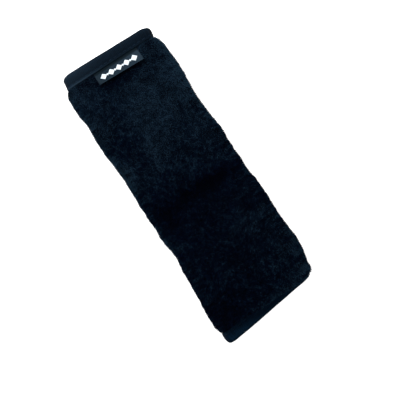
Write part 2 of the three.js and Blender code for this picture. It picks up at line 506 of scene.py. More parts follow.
    @property
    def right_fold(self) -> float:
        """Where the right fold starts."""
        return float(self.wrap.starts[3])

    @property
    def ramp(self) -> float:
        """Where the ramp starts."""
        return float(self.wrap.starts[4])

    @property
    def outer_flap(self) -> float:
        """Where the outer flap lies flat."""
        return float(self.wrap.starts[5])

    @property
    def bound_lining(self) -> float:
        """The lining's inner height under a binding."""
        return self.tape + self.gap

    @property
    def bound_top(self) -> float:
        """The plush's outer height under a binding."""
        return self.bound_lining + self.lining + 2 * self.gap + self.bound_plush

    @property
    def binding_span(self) -> float:
        """The whole thickness of a bound edge."""
        return self.bound_top + 2 * self.label_gap + self.label_thickness + self.tape

    @property
    def closure_width(self) -> float:
        """The width of each closure tape."""
        return self.overlap - 2 * self.edge_binding - self.tape_side_gap

    @property
    def loop_start(self) -> float:
        """The loop tape's edge that is nearer the under flap's edge."""
        return self.edge_binding + self.tape_side_gap

    @property
    def loop_end(self) -> float:
        """The loop tape's other edge."""
        return self.loop_start + self.closure_width

    @property
    def hook_end(self) -> float:
        """The hook tape's edge that is nearer the outer flap's edge."""
        return self.width - self.edge_binding - self.tape_side_gap

    @property
    def hook_start(self) -> float:
        """The hook tape's other edge."""
        return self.hook_end - self.closure_width

    def place(self, around: Array, down: Array, height: Array) -> Array:
        """Carries points of the flat pattern onto the wrap.

        The section gives x and z. y falls from the head end, with the foot end drawn up on the
        right side and the head end a little down. The bound ends' corners are pulled in by the
        square of the way past corner_from. The long sides stand in and out by their waves.

        Args:
            around: Distance along the wrap.
            down: Distance from the head end.
            height: Distance outwards from the sleeve's inner face.

        Returns:
            Points in the pad's frame, in millimetres.
        """
        around, down, height = np.broadcast_arrays(around, down, height)
        point, normal = self.wrap.at(around)
        x = point[..., 0] + normal[..., 0] * height
        z = self.level + point[..., 1] + normal[..., 1] * height
        across = point[..., 0] / self.slot_width + 0.5
        skew = self.foot_skew * across * rise(down - (self.length - self.skew_length), self.skew_length)
        y = self.length / 2 - down + skew
        past = np.maximum(np.abs(x) - self.corner_from, 0.0) / (self.corner_to - self.corner_from)
        pull = np.minimum(past, self.corner_most) ** 2
        at_head = 1 - rise(down, self.corner_depth)
        at_foot = 1 - rise(self.length - down, self.corner_depth)
        slant = self.head_slant * x / self.slot_width
        y = y - at_head * (pull * np.where(x < 0, *self.head_pull) + slant)
        y = y + at_foot * pull * np.where(x < 0, *self.foot_pull)
        side = rise(np.abs(point[..., 0]) - self.slot_width / 4, self.slot_width / 4)
        left = sum(wave.out * bell(y - wave.y, wave.reach) for wave in self.left_waves)
        right = sum(wave.out * bell(y - wave.y, wave.reach) for wave in self.right_waves)
        x = x + side * np.where(x < 0, -left, right)
        return np.stack([x, y, z], -1)

    def fullness(self, around: Array, down: Array) -> Array:
        """1 in the padded body, and 0 where a binding presses the layers flat.

        Args:
            around: Distance along the wrap.
            down: Distance from the head end.

        Returns:
            The share of the full height at each point.
        """
        ends = puff(down - self.head_binding, self.end_rise)
        ends = ends * puff(self.length - self.foot_binding - down, self.end_rise)
        from_edge = np.minimum(around, self.width - around) - self.edge_binding
        return ends * puff(from_edge, self.edge_rise)

    def between(self, around: Array, knots: Sequence[tuple[float, float]]) -> Array:
        """A size that changes smoothly from one listed place around the wrap to the next.

        Args:
            around: Distance along the wrap.
            knots: (place, size) pairs in order.

        Returns:
            The size at each point.
        """
        around = np.asarray(around, float)
        size = np.full(around.shape, knots[0][1])
        for (place, before), (following, after) in zip(knots, knots[1:]):
            size = size + (after - before) * rise(around - place, following - place)
        return size

    def foam_at(self, around: Array, down: Array) -> Array:
        """The foam's thickness, with the swell where it has slipped towards the foot end.

        Args:
            around: Distance along the wrap.
            down: Distance from the head end.

        Returns:
            Thicknesses where no binding presses it.
        """
        flat = self.between(
            around,
            (
                (0.0, self.flap_foam),
                (self.loop_end, self.flap_foam),
                (self.left_fold, self.fold_foam),
                (self.front, self.fold_foam),
                (self.front_middle, self.front_foam),
                (self.right_fold, self.fold_foam),
                (self.ramp, self.fold_foam),
                (self.outer_flap, self.flap_foam),
                (self.width, self.flap_foam),
            ),
        )
        past_tapes = rise(around - self.loop_end, self.left_fold - self.loop_end)
        before_flap = rise(self.outer_flap - around, self.outer_flap - self.ramp)
        from_swell = np.abs(down - (self.length - self.foot_swell_at))
        swell = self.foot_swell * (1 - rise(from_swell, self.foot_swell_reach))
        return flat + past_tapes * before_flap * swell

    def plush_at(self, around: Array) -> Array:
        """The plush's thickness, which the loop tape's stitching presses on the under flap."""
        return self.between(
            around,
            (
                (0.0, self.sewn_plush),
                (self.loop_end, self.sewn_plush),
                (self.left_fold, self.plush),
                (self.width, self.plush),
            ),
        )

    def lining_inner(self, around: Array, down: Array) -> Array:
        """The height of the lining's inner face."""
        return self.bound_lining * (1 - self.fullness(around, down))

    def foam_inner(self, around: Array, down: Array) -> Array:
        """The height of the foam's face on the lining's side."""
        return self.lining_inner(around, down) + self.lining + self.gap

    def plush_outer(self, around: Array, down: Array) -> Array:
        """The height of the plush's outside, as a smooth form without dents or pile.

        Args:
            around: Distance along the wrap.
            down: Distance from the head end.

        Returns:
            Heights over the sleeve's inner face.
        """
        full = self.fullness(around, down)
        foam = self.foam_inner(around, down) + self.foam_at(around, down) * full
        plush = self.bound_plush + (self.plush_at(around) - self.bound_plush) * full
        return foam + self.gap + plush

    def from_middle(self, around: Array, down: Array) -> tuple[Array, Array]:
        """Places across and along the front, over its surface, from its middle."""
        return around - self.front_middle, self.length / 2 - down


# Meshes


def signed_volume(points: Array, quads: Array, triangles: Array) -> float:
    """Six times the volume inside a closed mesh: the sum of a · (b × c) over its triangles.

    Args:
        points: The mesh's points.
        quads: Its faces of four corners.
        triangles: Its faces of three corners.

    Returns:
        The volume, negative where the faces point in.
    """
    fans = [quads[:, [0, 1, 2]], quads[:, [0, 2, 3]], triangles]
    corners = points[np.concatenate([fan for fan in fans if len(fan)])]
    return float(np.einsum("ij,ij->i", corners[:, 0], np.cross(corners[:, 1], corners[:, 2])).sum())


@dataclass
class Shell:
    """A closed mesh in millimetres, with what its material reads.

    pattern is a place on the cloth in millimetres for each point, which becomes the UV map
    "pattern". sheet_uv is a place on the unwrapped cloth between 0 and 1 for each point. shades are
    named values between 0 and 1 for each point.
    """

    points: Array
    quads: Array = field(default_factory=lambda: np.empty((0, 4), int))
    triangles: Array = field(default_factory=lambda: np.empty((0, 3), int))
    pattern: Array | None = None
    sheet_uv: Array | None = None
    shades: dict[str, Array] = field(default_factory=dict)

    def make(self, name: str, material: bpy.types.Material, smooth: bool = True) -> bpy.types.Object:
        """Makes the object, with its faces turned outwards and its place in its mesh.

        Args:
            name: The object's name.
            material: Its material.
            smooth: Whether its faces are shaded smooth.

        Returns:
            The new object, riding on the pad's body.
        """
        quads, triangles = self.quads, self.triangles
        if signed_volume(self.points, quads, triangles) < 0:
            quads, triangles = quads[:, ::-1], triangles[:, ::-1]
        mesh = bpy.data.meshes.new(name)
        mesh.from_pydata((self.points * MM).tolist(), [], quads.tolist() + triangles.tolist())
        corners = np.empty(len(mesh.loops), np.int32)
        mesh.loops.foreach_get("vertex_index", corners)
        for uv_name, places in (("pattern", self.pattern), ("OFBake", self.sheet_uv)):
            if places is not None:
                layer = mesh.uv_layers.new(name=uv_name)
                layer.data.foreach_set("uv", places[corners].astype(np.float32).ravel())
        for shade, values in self.shades.items():
            attribute = mesh.attributes.new(shade, "FLOAT", "POINT")
            attribute.data.foreach_set("value", values.astype(np.float32))
        mesh.materials.append(material)
        mesh.update()
        if smooth:
            mesh.shade_smooth()
        made = bpy.data.objects.new(name, mesh)
        bpy.context.scene.collection.objects.link(made)
        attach(made, BODY)
        return made


def grid_quads(rows: int, columns: int) -> Array:
    """The quads of a grid of points numbered row by row."""
    index = np.arange(rows * columns).reshape(rows, columns)
    return np.stack([index[:-1, :-1], index[:-1, 1:], index[1:, 1:], index[1:, :-1]], -1).reshape(-1, 4)


def rim_loop(rows: int, columns: int) -> Array:
    """The numbers of a grid's outer points, once around."""
    index = np.arange(rows * columns).reshape(rows, columns)
    return np.concatenate([index[0, :-1], index[:-1, -1], index[-1, :0:-1], index[:0:-1, 0]])


def joined(shells: Sequence[Shell]) -> Shell:
    """Several shells with the same kinds of data as one."""
    starts = np.cumsum([0] + [len(shell.points) for shell in shells[:-1]])
    return Shell(
        np.concatenate([shell.points for shell in shells]),
        quads=np.concatenate([shell.quads + start for shell, start in zip(shells, starts)]),
        pattern=np.concatenate([shell.pattern for shell in shells]),
    )


def slab(top: Array, bottom: Array, pattern: Array, **shades: Array) -> Shell:
    """A closed sheet between two grids of points of the same size.

    Args:
        top: Points of one face, rows by columns by 3.
        bottom: Points of the other face.
        pattern: The place of each grid point on the cloth, in millimetres, rows by columns by 2.
        **shades: Named values between 0 and 1 for each grid point, rows by columns.

    Returns:
        The sheet, with quads around its rim.
    """
    rows, columns = top.shape[:2]
    count = rows * columns
    face = grid_quads(rows, columns)
    rim = rim_loop(rows, columns)
    after = np.roll(rim, -1)
    wall = np.stack([after, rim, rim + count, after + count], -1)
    flat = pattern.reshape(-1, 2)
    low, high = flat.min(0), flat.max(0)
    room = (1 - 2 * SHEET_MARGIN, 0.5 - 2 * SHEET_MARGIN)
    sheet_uv = (flat - low) / (high - low) * room + SHEET_MARGIN
    return Shell(
        np.concatenate([top.reshape(-1, 3), bottom.reshape(-1, 3)]),
        quads=np.concatenate([face, face[:, ::-1] + count, wall]),
        pattern=np.concatenate([flat, flat]),
        sheet_uv=np.concatenate([sheet_uv, sheet_uv + (0.0, 0.5)]),
        shades={name: np.tile(values.ravel(), 2) for name, values in shades.items()},
    )


# Node materials


def linear(colour: str) -> tuple[float, float, float, float]:
    """An sRGB hex colour as linear red, green, blue and alpha.

    Args:
        colour: Six hex digits after a hash sign.

    Returns:
        Four numbers for a colour socket.
    """
    channels = np.array([int(colour[i : i + 2], 16) for i in (1, 3, 5)]) / 255
    low, high = channels / 12.92, ((channels + 0.055) / 1.055) ** 2.4
    return (*np.where(channels <= 0.04045, low, high).tolist(), 1.0)


class Tree:
    """A material's node tree, filled one node at a time."""

    def __init__(self, name: str) -> None:
        """Makes an empty node material.

        Args:
            name: The material's name.
        """
        self.material = bpy.data.materials.new(name)
        self.material.use_nodes = True
        self.material.node_tree.nodes.clear()

    def add(
        self,
        kind: str,
        settings: dict | None = None,
        stops: Sequence[tuple[float, str]] = (),
        **inputs: object,
    ) -> bpy.types.Node:
        """Adds a node with its settings, values and links.

        Args:
            kind: The node's class name without the word ShaderNode.
            settings: Properties of the node.
            stops: (place, sRGB hex colour) pairs in order, where the node is a colour ramp.
            **inputs: Socket values or output sockets to link, named as the socket with _ for a
                space, or in_0, in_1 and so on by number.

        Returns:
            The new node.
        """
        node = self.material.node_tree.nodes.new("ShaderNode" + kind)
        for key, value in (settings or {}).items():
            setattr(node, key, value)
        for key, value in inputs.items():
            number = key.removeprefix("in_")
            socket = node.inputs[int(number) if number.isdigit() else key.replace("_", " ")]
            if isinstance(value, bpy.types.NodeSocket):
                self.material.node_tree.links.new(value, socket)
            else:
                socket.default_value = value
        for number, (place, colour) in enumerate(stops):
            elements = node.color_ramp.elements
            element = elements[number] if number < len(elements) else elements.new(1.0)
            element.position, element.color = place, linear(colour)
        return node


@dataclass(frozen=True)
class PlushFinish:
    """Short-pile polyester plush, knitted and sheared.

    The root colour is painted shade: each tuft is mixed to it towards its root, where the tufts
    shade each other, so the pile is near black between its tips. The tones hold the pile's own
    brushed patches and clumps with painted light and shade: palest on the head half and towards
    the folds, and darkest and bluest in the crease, in the dents and on the foot half.
    """

    name: str = "plush_pile"
    # The root colour is painted shade near the cloth, where the tufts shade each other.
    root: str = "#010206"
    tones: tuple[tuple[float, str], ...] = (
        (0.0, "#01010a"),
        (0.3, "#020a22"),
        (0.6, "#0a1c2e"),
        (1.0, "#263e52"),
    )
    bloom: str = "#8fa8c4"
    bloom_weight: float = 0.006
    bloom_roughness: float = 0.5
    roughness: float = 0.8
    gloss: float = 0.01

    def make(self) -> bpy.types.Material:
        """Builds the material, which reads the pile's shades: "tip", 0 at the roots, where it paints
        shade, and the tone, which holds painted light and shade.

        Returns:
            The material.
        """
        tree = Tree(self.name)
        tip = tree.add("Attribute", {"attribute_name": "tip"}).outputs["Fac"]
        # The pile's tone: its own patches and clumps, with painted light and shade.
        nap_and_painted_light = tree.add("Attribute", {"attribute_name": "nap_and_painted_light"}).outputs["Fac"]
        dyed = tree.add("ValToRGB", stops=self.tones, Fac=nap_and_painted_light).outputs["Color"]
        # Towards each tuft's root the colour goes to the root colour: painted shade.
        mixed = tree.add("Mix", {"data_type": "RGBA"}, in_0=tip, in_6=linear(self.root), in_7=dyed)
        cloth = tree.add(
            "BsdfPrincipled",
            Base_Color=mixed.outputs[2],
            Roughness=self.roughness,
            Specular_IOR_Level=self.gloss,
            Sheen_Weight=self.bloom_weight,
            Sheen_Roughness=self.bloom_roughness,
            Sheen_Tint=linear(self.bloom),
        )
        tree.add("OutputMaterial", Surface=cloth.outputs[0])
        return tree.material


@dataclass(frozen=True)
class WovenFinish:
    """Woven or knitted cloth: ribs one way, threads the other, and a fuzz that breaks them up.

    It is paler where the shade "edge" says so: on the tapes by wear and painted highlight, and on
    the label over its own paler face and fold; near the seam the label keeps its dark ground
    colour as painted shadow of the binding.
    """

    name: str
    dark: str
    light: str
    edge: str
    rib_mm: float
    thread_mm: float
    roughness: float
    gloss: float
    sheen: float
    depth_mm: float
    sheen_roughness: float = 0.4
    fuzz_detail: float = 3.0
    fuzz_mm: float = 1.3
    relief_in_tone: float = 0.18
    tone_range: tuple[float, float] = (0.15, 0.9)

    def make(self) -> bpy.types.Material:
        """Builds the material, which reads the UV map "pattern" in millimetres and the shade "edge".

        Returns:
            The material.
        """
        tree = Tree(self.name)
        cloth = tree.add("UVMap", {"uv_map": "pattern"}).outputs[0]
        axes = tree.add("SeparateXYZ", in_0=cloth)
        waves = []
        for axis, pitch in (("X", self.rib_mm), ("Y", self.thread_mm)):
            turned = tree.add(
                "Math", {"operation": "MULTIPLY"}, in_0=axes.outputs[axis], in_1=2 * math.pi / pitch
            )
            waves.append(tree.add("Math", {"operation": "SINE"}, in_0=turned.outputs[0]).outputs[0])
        weave = tree.add("Math", {"operation": "MULTIPLY"}, in_0=waves[0], in_1=waves[1])
        relief = tree.add("Math", {"operation": "ADD"}, in_0=weave.outputs[0], in_1=waves[0])
        place = tree.add("TexCoord").outputs["Object"]
        scale = 1 / (self.fuzz_mm * MM)
        fuzz = tree.add("TexNoise", Vector=place, Scale=scale, Detail=self.fuzz_detail)
        tone = tree.add(
            "Math",
            {"operation": "MULTIPLY_ADD"},
            in_0=relief.outputs[0],
            in_1=self.relief_in_tone,
            in_2=fuzz.outputs[0],
        )
        stops = tuple(zip(self.tone_range, (self.dark, self.light)))
        ground = tree.add("ValToRGB", stops=stops, Fac=tone.outputs[0]).outputs["Color"]
        # The shade "edge": wear and painted highlight on the tapes, paling and painted shadow on the
        # label.
        paling_and_painted_light = tree.add("Attribute", {"attribute_name": "edge"}).outputs["Fac"]
        mixed = tree.add(
            "Mix", {"data_type": "RGBA"}, in_0=paling_and_painted_light, in_6=ground, in_7=linear(self.edge)
        )
        bump = tree.add("Bump", Strength=1.0, Distance=self.depth_mm * MM, Height=relief.outputs[0])
        cloth = tree.add(
            "BsdfPrincipled",
            Base_Color=mixed.outputs[2],
            Roughness=self.roughness,
            Specular_IOR_Level=self.gloss,
            Sheen_Weight=self.sheen,
            Sheen_Roughness=self.sheen_roughness,
            Normal=bump.outputs[0],
        )
        tree.add("OutputMaterial", Surface=cloth.outputs[0])
        return tree.material


@dataclass(frozen=True)
class PlainFinish:
    """A thread, a foam or a brushed pile: one colour with a fine grain in tone and relief."""

    name: str
    dark: str
    light: str
    grain_mm: float
    roughness: float
    depth_mm: float
    gloss: float = 0.05
    sheen: float = 0.0
    detail: float = 3.0
    tone_range: tuple[float, float] = (0.3, 0.7)

    def make(self) -> bpy.types.Material:
        """Builds the material, which reads Object coordinates.

        Returns:
            The material.
        """
        tree = Tree(self.name)
        place = tree.add("TexCoord").outputs["Object"]
        scale = 1 / (self.grain_mm * MM)
        grain = tree.add("TexNoise", Vector=place, Scale=scale, Detail=self.detail)
        stops = tuple(zip(self.tone_range, (self.dark, self.light)))
        colour = tree.add("ValToRGB", stops=stops, Fac=grain.outputs[0]).outputs["Color"]
        bump = tree.add("Bump", Strength=1.0, Distance=self.depth_mm * MM, Height=grain.outputs[0])
        cloth = tree.add(
            "BsdfPrincipled",
            Base_Color=colour,
            Roughness=self.roughness,
            Specular_IOR_Level=self.gloss,
            Sheen_Weight=self.sheen,
            Normal=bump.outputs[0],
        )
        tree.add("OutputMaterial", Surface=cloth.outputs[0])
        return tree.material


@dataclass(frozen=True)
class FloorFinish:
    """A matt white studio floor. The eye sees it a little lighter than the light that it returns,
    and the object's shadow stays on it."""

    name: str = "studio_white"
    colour: str = "#f4f4f4"
    lift: float = 0.75

    def make(self) -> bpy.types.Material:
        """Builds the material, with a glow that only the camera and glossy surfaces see.

        Returns:
            The material.
        """
        tree = Tree(self.name)
        matt = tree.add("BsdfDiffuse", Color=linear(self.colour))
        rays = tree.add("LightPath")
        seen = tree.add(
            "Math",
            {"operation": "MAXIMUM"},
            in_0=rays.outputs["Is Camera Ray"],
            in_1=rays.outputs["Is Glossy Ray"],
        )
        glow = tree.add("Math", {"operation": "MULTIPLY"}, in_0=seen.outputs[0], in_1=self.lift)
        light = tree.add("Emission", Color=linear("#ffffff"), Strength=glow.outputs[0])
        both = tree.add("AddShader", in_0=matt.outputs[0], in_1=light.outputs[0])
        tree.add("OutputMaterial", Surface=both.outputs[0])
        return tree.material


# Polyester tape, woven in a fine rib and folded over the edges: dull and near black. It is paler
# along its woven edges, by wear and a painted highlight, and over its turn, by a painted
# highlight, both stronger on the left of the front. Its real rib of 0.3 mm is too fine to show.
BOUND_TAPE = WovenFinish(
    "binding_tape_weave",
    dark="#00040b",
    light="#03101c",
    edge="#3c5266",
    rib_mm=0.9,
    thread_mm=0.9,
    roughness=0.8,
    gloss=0.04,
    sheen=0.01,
    depth_mm=0.06,
)

# The same tape at the foot end as a darker, bluer copy: painted shade, as the foot end lies away
# from the light. Its edge colour is dimmer, so its edges and turn are less pale.
BOUND_TAPE_SHADED_AT_FOOT = replace(
    BOUND_TAPE,
    name="binding_tape_weave_shaded_foot",
    dark="#000711",
    light="#03172b",
    edge="#12303f",
    gloss=0.03,
    sheen=0.005,
)

# Polyester satin, woven tight: flat and even. Its dark ground colours stay near the seam as a
# painted shadow of the head binding; elsewhere its edge colour pales its face and its fold.
LABEL_SATIN = WovenFinish(
    "label_satin",
    dark="#030b11",
    light="#09151c",
    edge="#6a8ba8",
    rib_mm=0.35,
    thread_mm=0.7,
    roughness=0.6,
    gloss=0.04,
    sheen=0.01,
    depth_mm=0.015,
)

# Rayon thread woven into the satin as a border: pale, with a faint lustre.
LABEL_THREAD = WovenFinish(
    "label_thread",
    dark="#b4c6d2",
    light="#eef4f8",
    edge="#eef4f8",
    rib_mm=0.35,
    thread_mm=0.7,
    roughness=0.6,
    gloss=0.1,
    sheen=0.05,
    depth_mm=0.02,
)

# Polyester tricot, knitted smooth: an even dark cloth with soft ribs.
LINING_KNIT = WovenFinish(
    "lining_knit",
    dark="#070c12",
    light="#121b25",
    edge="#121b25",
    rib_mm=0.7,
    thread_mm=0.7,
    roughness=0.8,
    gloss=0.1,
    sheen=0.02,
    depth_mm=0.03,
)

# Spun polyester thread: a little lighter than the cloth that it sews.
SEWING_THREAD = PlainFinish(
    "sewing_thread", "#08121c", "#16263a", grain_mm=0.5, roughness=0.6, depth_mm=0.02
)

# Nylon loops, brushed up: matt and woolly.
LOOP_PILE = PlainFinish(
    "loop_pile", "#070b10", "#141d27", grain_mm=0.5, roughness=0.95, depth_mm=0.12, sheen=0.05
)

# Nylon hooks, moulded and cut: a rough face with small glints. They are drawn as a coarse grain.
HOOK_FACE = PlainFinish(
    "hook_face", "#06090d", "#131a22", grain_mm=0.8, roughness=0.5, depth_mm=0.15, gloss=0.3
)


# How the padded cloth has settled


@dataclass(frozen=True)
class Dent:
    """A dent in the front, where x and y are measured over the surface from its middle.

    It falls steeply on the side that faces the head end, over lip, and comes back slowly, over run.
    """

    x: float
    y: float
    half_length: float
    lip: float
    run: float
    turn: float
    depth: float

    def at(self, x: Array, y: Array) -> Array:
        """How deep the dent is at each point.

        Args:
            x: Distance across the pad over the surface.
            y: Distance along the pad.

        Returns:
            Depths, as depth · exp(-(u / half_length)²) · exp(-(v / lip or run)²).
        """
        cos, sin = math.cos(math.radians(self.turn)), math.sin(math.radians(self.turn))
        u = (x - self.x) * cos + (y - self.y) * sin
        v = (y - self.y) * cos - (x - self.x) * sin
        return self.depth * bell(u, self.half_length) * bell(v, np.where(v > 0, self.lip, self.run))


@dataclass(frozen=True)
class BrushedOrLitPatch:
    """A patch of the front painted lighter or darker. Some are brushed pile, some painted light and
    some painted shade.
    """

    x: float
    y: float
    reach_x: float
    reach_y: float
    tone: float

    def at(self, x: Array, y: Array) -> Array:
        """How much lighter the patch is at each point, as a bell in both directions."""
        return self.tone * bell(x - self.x, self.reach_x) * bell(y - self.y, self.reach_y)


@dataclass
class Settling:
    """A cloth simulation of the plush face, which puckers at the seams and swells between them.

    The face is laid out as an even grid, ten times its real size, because cloth is simulated best
    at the size of a cushion. It is held at the bindings and at the sewn flaps, grown a little so
    that it gathers, and blown out by an even pressure. most_out limits how far it moves, in mm. The
    stiffnesses, the mass, the damping and the pressure are those of the simulation, and shrink is
    a share of the cloth's length, below 0 where it grows.
    """

    blank: Blank
    across: int = 72
    along: int = 84
    enlarge: float = 10.0
    frames: int = 24
    steps: int = 7
    most_out: float = 0.9
    mass: float = 0.4
    stretch_stiffness: float = 25.0
    shear_stiffness: float = 12.0
    bending_stiffness: float = 3.0
    air_damping: float = 4.0
    shrink: float = -0.035
    pressure: float = 1.2

    def settled(self) -> GridField:
        """Returns:
            How far each point of the face has moved, in millimetres.
        """
        blank = self.blank
        around = np.linspace(blank.edge_binding, blank.width - blank.edge_binding, self.across)
        down = np.linspace(blank.head_binding, blank.length - blank.foot_binding, self.along)
        start, step = (around[0], down[0]), (around[1] - around[0], down[1] - down[0])
        a, d = np.meshgrid(around, down, indexing="ij")
        rest = blank.place(a, d, blank.plush_outer(a, d))
        moved = self._simulate(rest, self._held(a)) - rest
        return GridField(limited(moved, self.most_out), start, step)

    def _held(self, around: Array) -> Array:
        """Which points are sewn down: the rim of the grid and the two flaps.

        Args:
            around: Distance along the wrap at each point of the grid.

        Returns:
            True at each point that doesn't move.
        """
        held = (around < self.blank.loop_end) | (around > self.blank.outer_flap)
        held[0, :] = held[-1, :] = held[:, 0] = held[:, -1] = True
        return held

    def _simulate(self, rest: Array, held: Array) -> Array:
        """Runs the cloth and reads it back.

        Args:
            rest: The grid of points before it settles, in millimetres.
            held: Which of them don't move.

        Returns:
            The grid of points after the last frame.
        """
        scale = MM * self.enlarge
        mesh = bpy.data.meshes.new("settling")
        quads = grid_quads(self.across, self.along)
        mesh.from_pydata((rest.reshape(-1, 3) * scale).tolist(), [], quads.tolist())
        face = bpy.data.objects.new("settling", mesh)
        scene = bpy.context.scene
        scene.collection.objects.link(face)
        pins = face.vertex_groups.new(name="sewn")
        pins.add(np.flatnonzero(held.ravel()).tolist(), 1.0, "REPLACE")
        cloth = face.modifiers.new("settling", "CLOTH")
        cloth.settings.vertex_group_mass = pins.name
        cloth.settings.quality = self.steps
        cloth.settings.mass = self.mass
        cloth.settings.tension_stiffness = self.stretch_stiffness
        cloth.settings.compression_stiffness = self.stretch_stiffness
        cloth.settings.shear_stiffness = self.shear_stiffness
        cloth.settings.bending_stiffness = self.bending_stiffness
        cloth.settings.air_damping = self.air_damping
        cloth.settings.shrink_min = self.shrink
        cloth.settings.use_pressure = True
        cloth.settings.uniform_pressure_force = self.pressure
        cloth.settings.effector_weights.gravity = 0.0
        cloth.collision_settings.use_collision = False
        cloth.point_cache.frame_end = self.frames
        for frame in range(1, self.frames + 1):
            scene.frame_set(frame)
        settled = face.evaluated_get(bpy.context.evaluated_depsgraph_get()).to_mesh()
        found = np.empty(len(settled.vertices) * 3, np.float32)
        settled.vertices.foreach_get("co", found)
        scene.frame_set(1)
        bpy.data.objects.remove(face)
        return found.reshape(rest.shape).astype(float) / scale


@dataclass
class PlushFace:
    """The plush's outside: the smooth form, its dents, its sewn channels and how it has settled.

    The cloth lies pile_depth under the pile's mean height. Dents and lumps fade out over
    tape_fade past the loop tape and over flap_fade before the outer flap. The overhang is the
    padding that rolls over the foot binding. The channels sew the hook tape through the outer
    flap, channel_inset from its edges, and fade over channel_fade at both ends. Over seam_hold
    from the end bindings, the settled cloth is held by the seam.
    """

    blank: Blank
    settling: GridField
    pile_depth: float = 0.55
    dents: tuple[Dent, ...] = (
        Dent(-3.0, -4.0, 24.0, 2.6, 13.0, -8.0, 2.0),
        Dent(-22.0, -8.0, 9.0, 4.0, 8.0, -20.0, 0.9),
        Dent(-16.0, 33.0, 12.0, 7.0, 9.0, 25.0, 0.5),
        Dent(20.0, 27.0, 13.0, 5.0, 8.0, 14.0, 0.45),
        Dent(-18.0, -66.0, 8.0, 3.5, 3.0, 6.0, 1.0),
        Dent(-24.0, -30.0, 8.0, 6.0, 9.0, -12.0, 0.6),
        Dent(14.0, -45.0, 14.0, 5.0, 9.0, -16.0, 0.35),
        Dent(4.0, 63.0, 10.0, 3.0, 6.0, 3.0, 0.35),
    )
    overhang_at_left: float = 2.2
    overhang_at_middle: float = 5.8
    overhang_at_right: float = 8.8
    overhang_at_ramp: float = 4.0
    overhang_start: float = 0.5
    overhang_rise: float = 3.0
    overhang_top: float = 4.5
    overhang_fall: float = 22.0
    channel_inset: float = 1.6
    channel_half_width: float = 0.9
    channel_depth: float = 0.75
    channel_fade: float = 2.0
    tape_fade: float = 12.0
    flap_fade: float = 6.0
    seam_hold: float = 1.5
    probe: float = 0.3
    lumps: tuple[Layer, ...] = (Layer(0.28, 9.0), Layer(0.09, 3.6, 50.0))
    grain: tuple[Layer, ...] = (Layer(0.11, 1.4, 0.0, 80.0),)
    noise: LatticeNoise = field(default_factory=lambda: LatticeNoise(11))

    @cached_property
    def channels(self) -> tuple[float, float]:
        """The two lines that sew the hook tape through the outer flap."""
        blank = self.blank
        return blank.hook_start + self.channel_inset, blank.hook_end - self.channel_inset

    def height(self, around: Array, down: Array) -> Array:
        """The height of the cloth under the pile.

        Args:
            around: Distance along the wrap.
            down: Distance from the head end.

        Returns:
            The smooth height, less the pile, the dents and the channels, with lumps of two sizes.
        """
        blank = self.blank
        full = blank.fullness(around, down)
        free = full * rise(around - blank.loop_end, self.tape_fade)
        free = free * rise(blank.outer_flap - around, self.flap_fade)
        dents = sum(dent.at(*blank.from_middle(around, down)) for dent in self.dents)
        broad = self.noise.layered(around, down, self.lumps)
        fine = self.noise.layered(around, down, self.grain)
        pressed = sum(bell(around - line, self.channel_half_width) for line in self.channels)
        ends = rise(down - blank.head_binding - blank.end_rise, self.channel_fade)
        to_foot = blank.length - blank.foot_binding - blank.end_rise - down
        ends = ends * rise(to_foot, self.channel_fade)
        smooth = blank.plush_outer(around, down) - self.pile_depth * full
        return smooth - free * (dents - broad) + full * fine - self.channel_depth * pressed * ends

    def overhang(self, around: Array, down: Array) -> Array:
        """How far the padding rolls out over the foot binding, most at the right fold.

        Args:
            around: Distance along the wrap.
            down: Distance from the head end.

        Returns:
            Distances towards the foot end. They rise past overhang_start over overhang_rise, hold
            to overhang_top and fall over overhang_fall.
        """
        blank = self.blank
        most = blank.between(
            around,
            (
                (blank.left_fold, 0.0),
                (blank.front, self.overhang_at_left),
                (blank.front_middle, self.overhang_at_middle),
                (blank.right_fold, self.overhang_at_right),
                (blank.ramp, self.overhang_at_ramp),
                (blank.outer_flap, 0.0),
            ),
        )
        past = blank.length - blank.foot_binding - down
        lip = rise(past - self.overhang_start, self.overhang_rise)
        return most * lip * (1 - rise(past - self.overhang_top, self.overhang_fall))

    def at(self, around: Array, down: Array) -> Array:
        """Points of the cloth under the pile, once it has settled.

        Args:
            around: Distance along the wrap.
            down: Distance from the head end.

        Returns:
            Points in millimetres.
        """
        blank = self.blank
        kept = rise(down - blank.head_binding, self.seam_hold)
        kept = kept * rise(blank.length - blank.foot_binding - down, self.seam_hold)
        rolled = down + self.overhang(around, down)
        placed = blank.place(around, rolled, self.height(around, down))
        return placed + self.settling.at(around, down) * kept[..., None]

    def frame(self, around: Array, down: Array) -> tuple[Array, Array, Array, Array]:
        """The cloth's directions, from differences over probe to each side.

        Args:
            around: Distance along the wrap.
            down: Distance from the head end.

        Returns:
            Points, ways around, ways down and outward normals.
        """
        small = self.probe
        point = self.at(around, down)
        way_around = unit(self.at(around + small, down) - self.at(around - small, down))
        way_down = unit(self.at(around, down + small) - self.at(around, down - small))
        return point, way_around, way_down, unit(np.cross(way_down, way_around))


# The sewn pieces


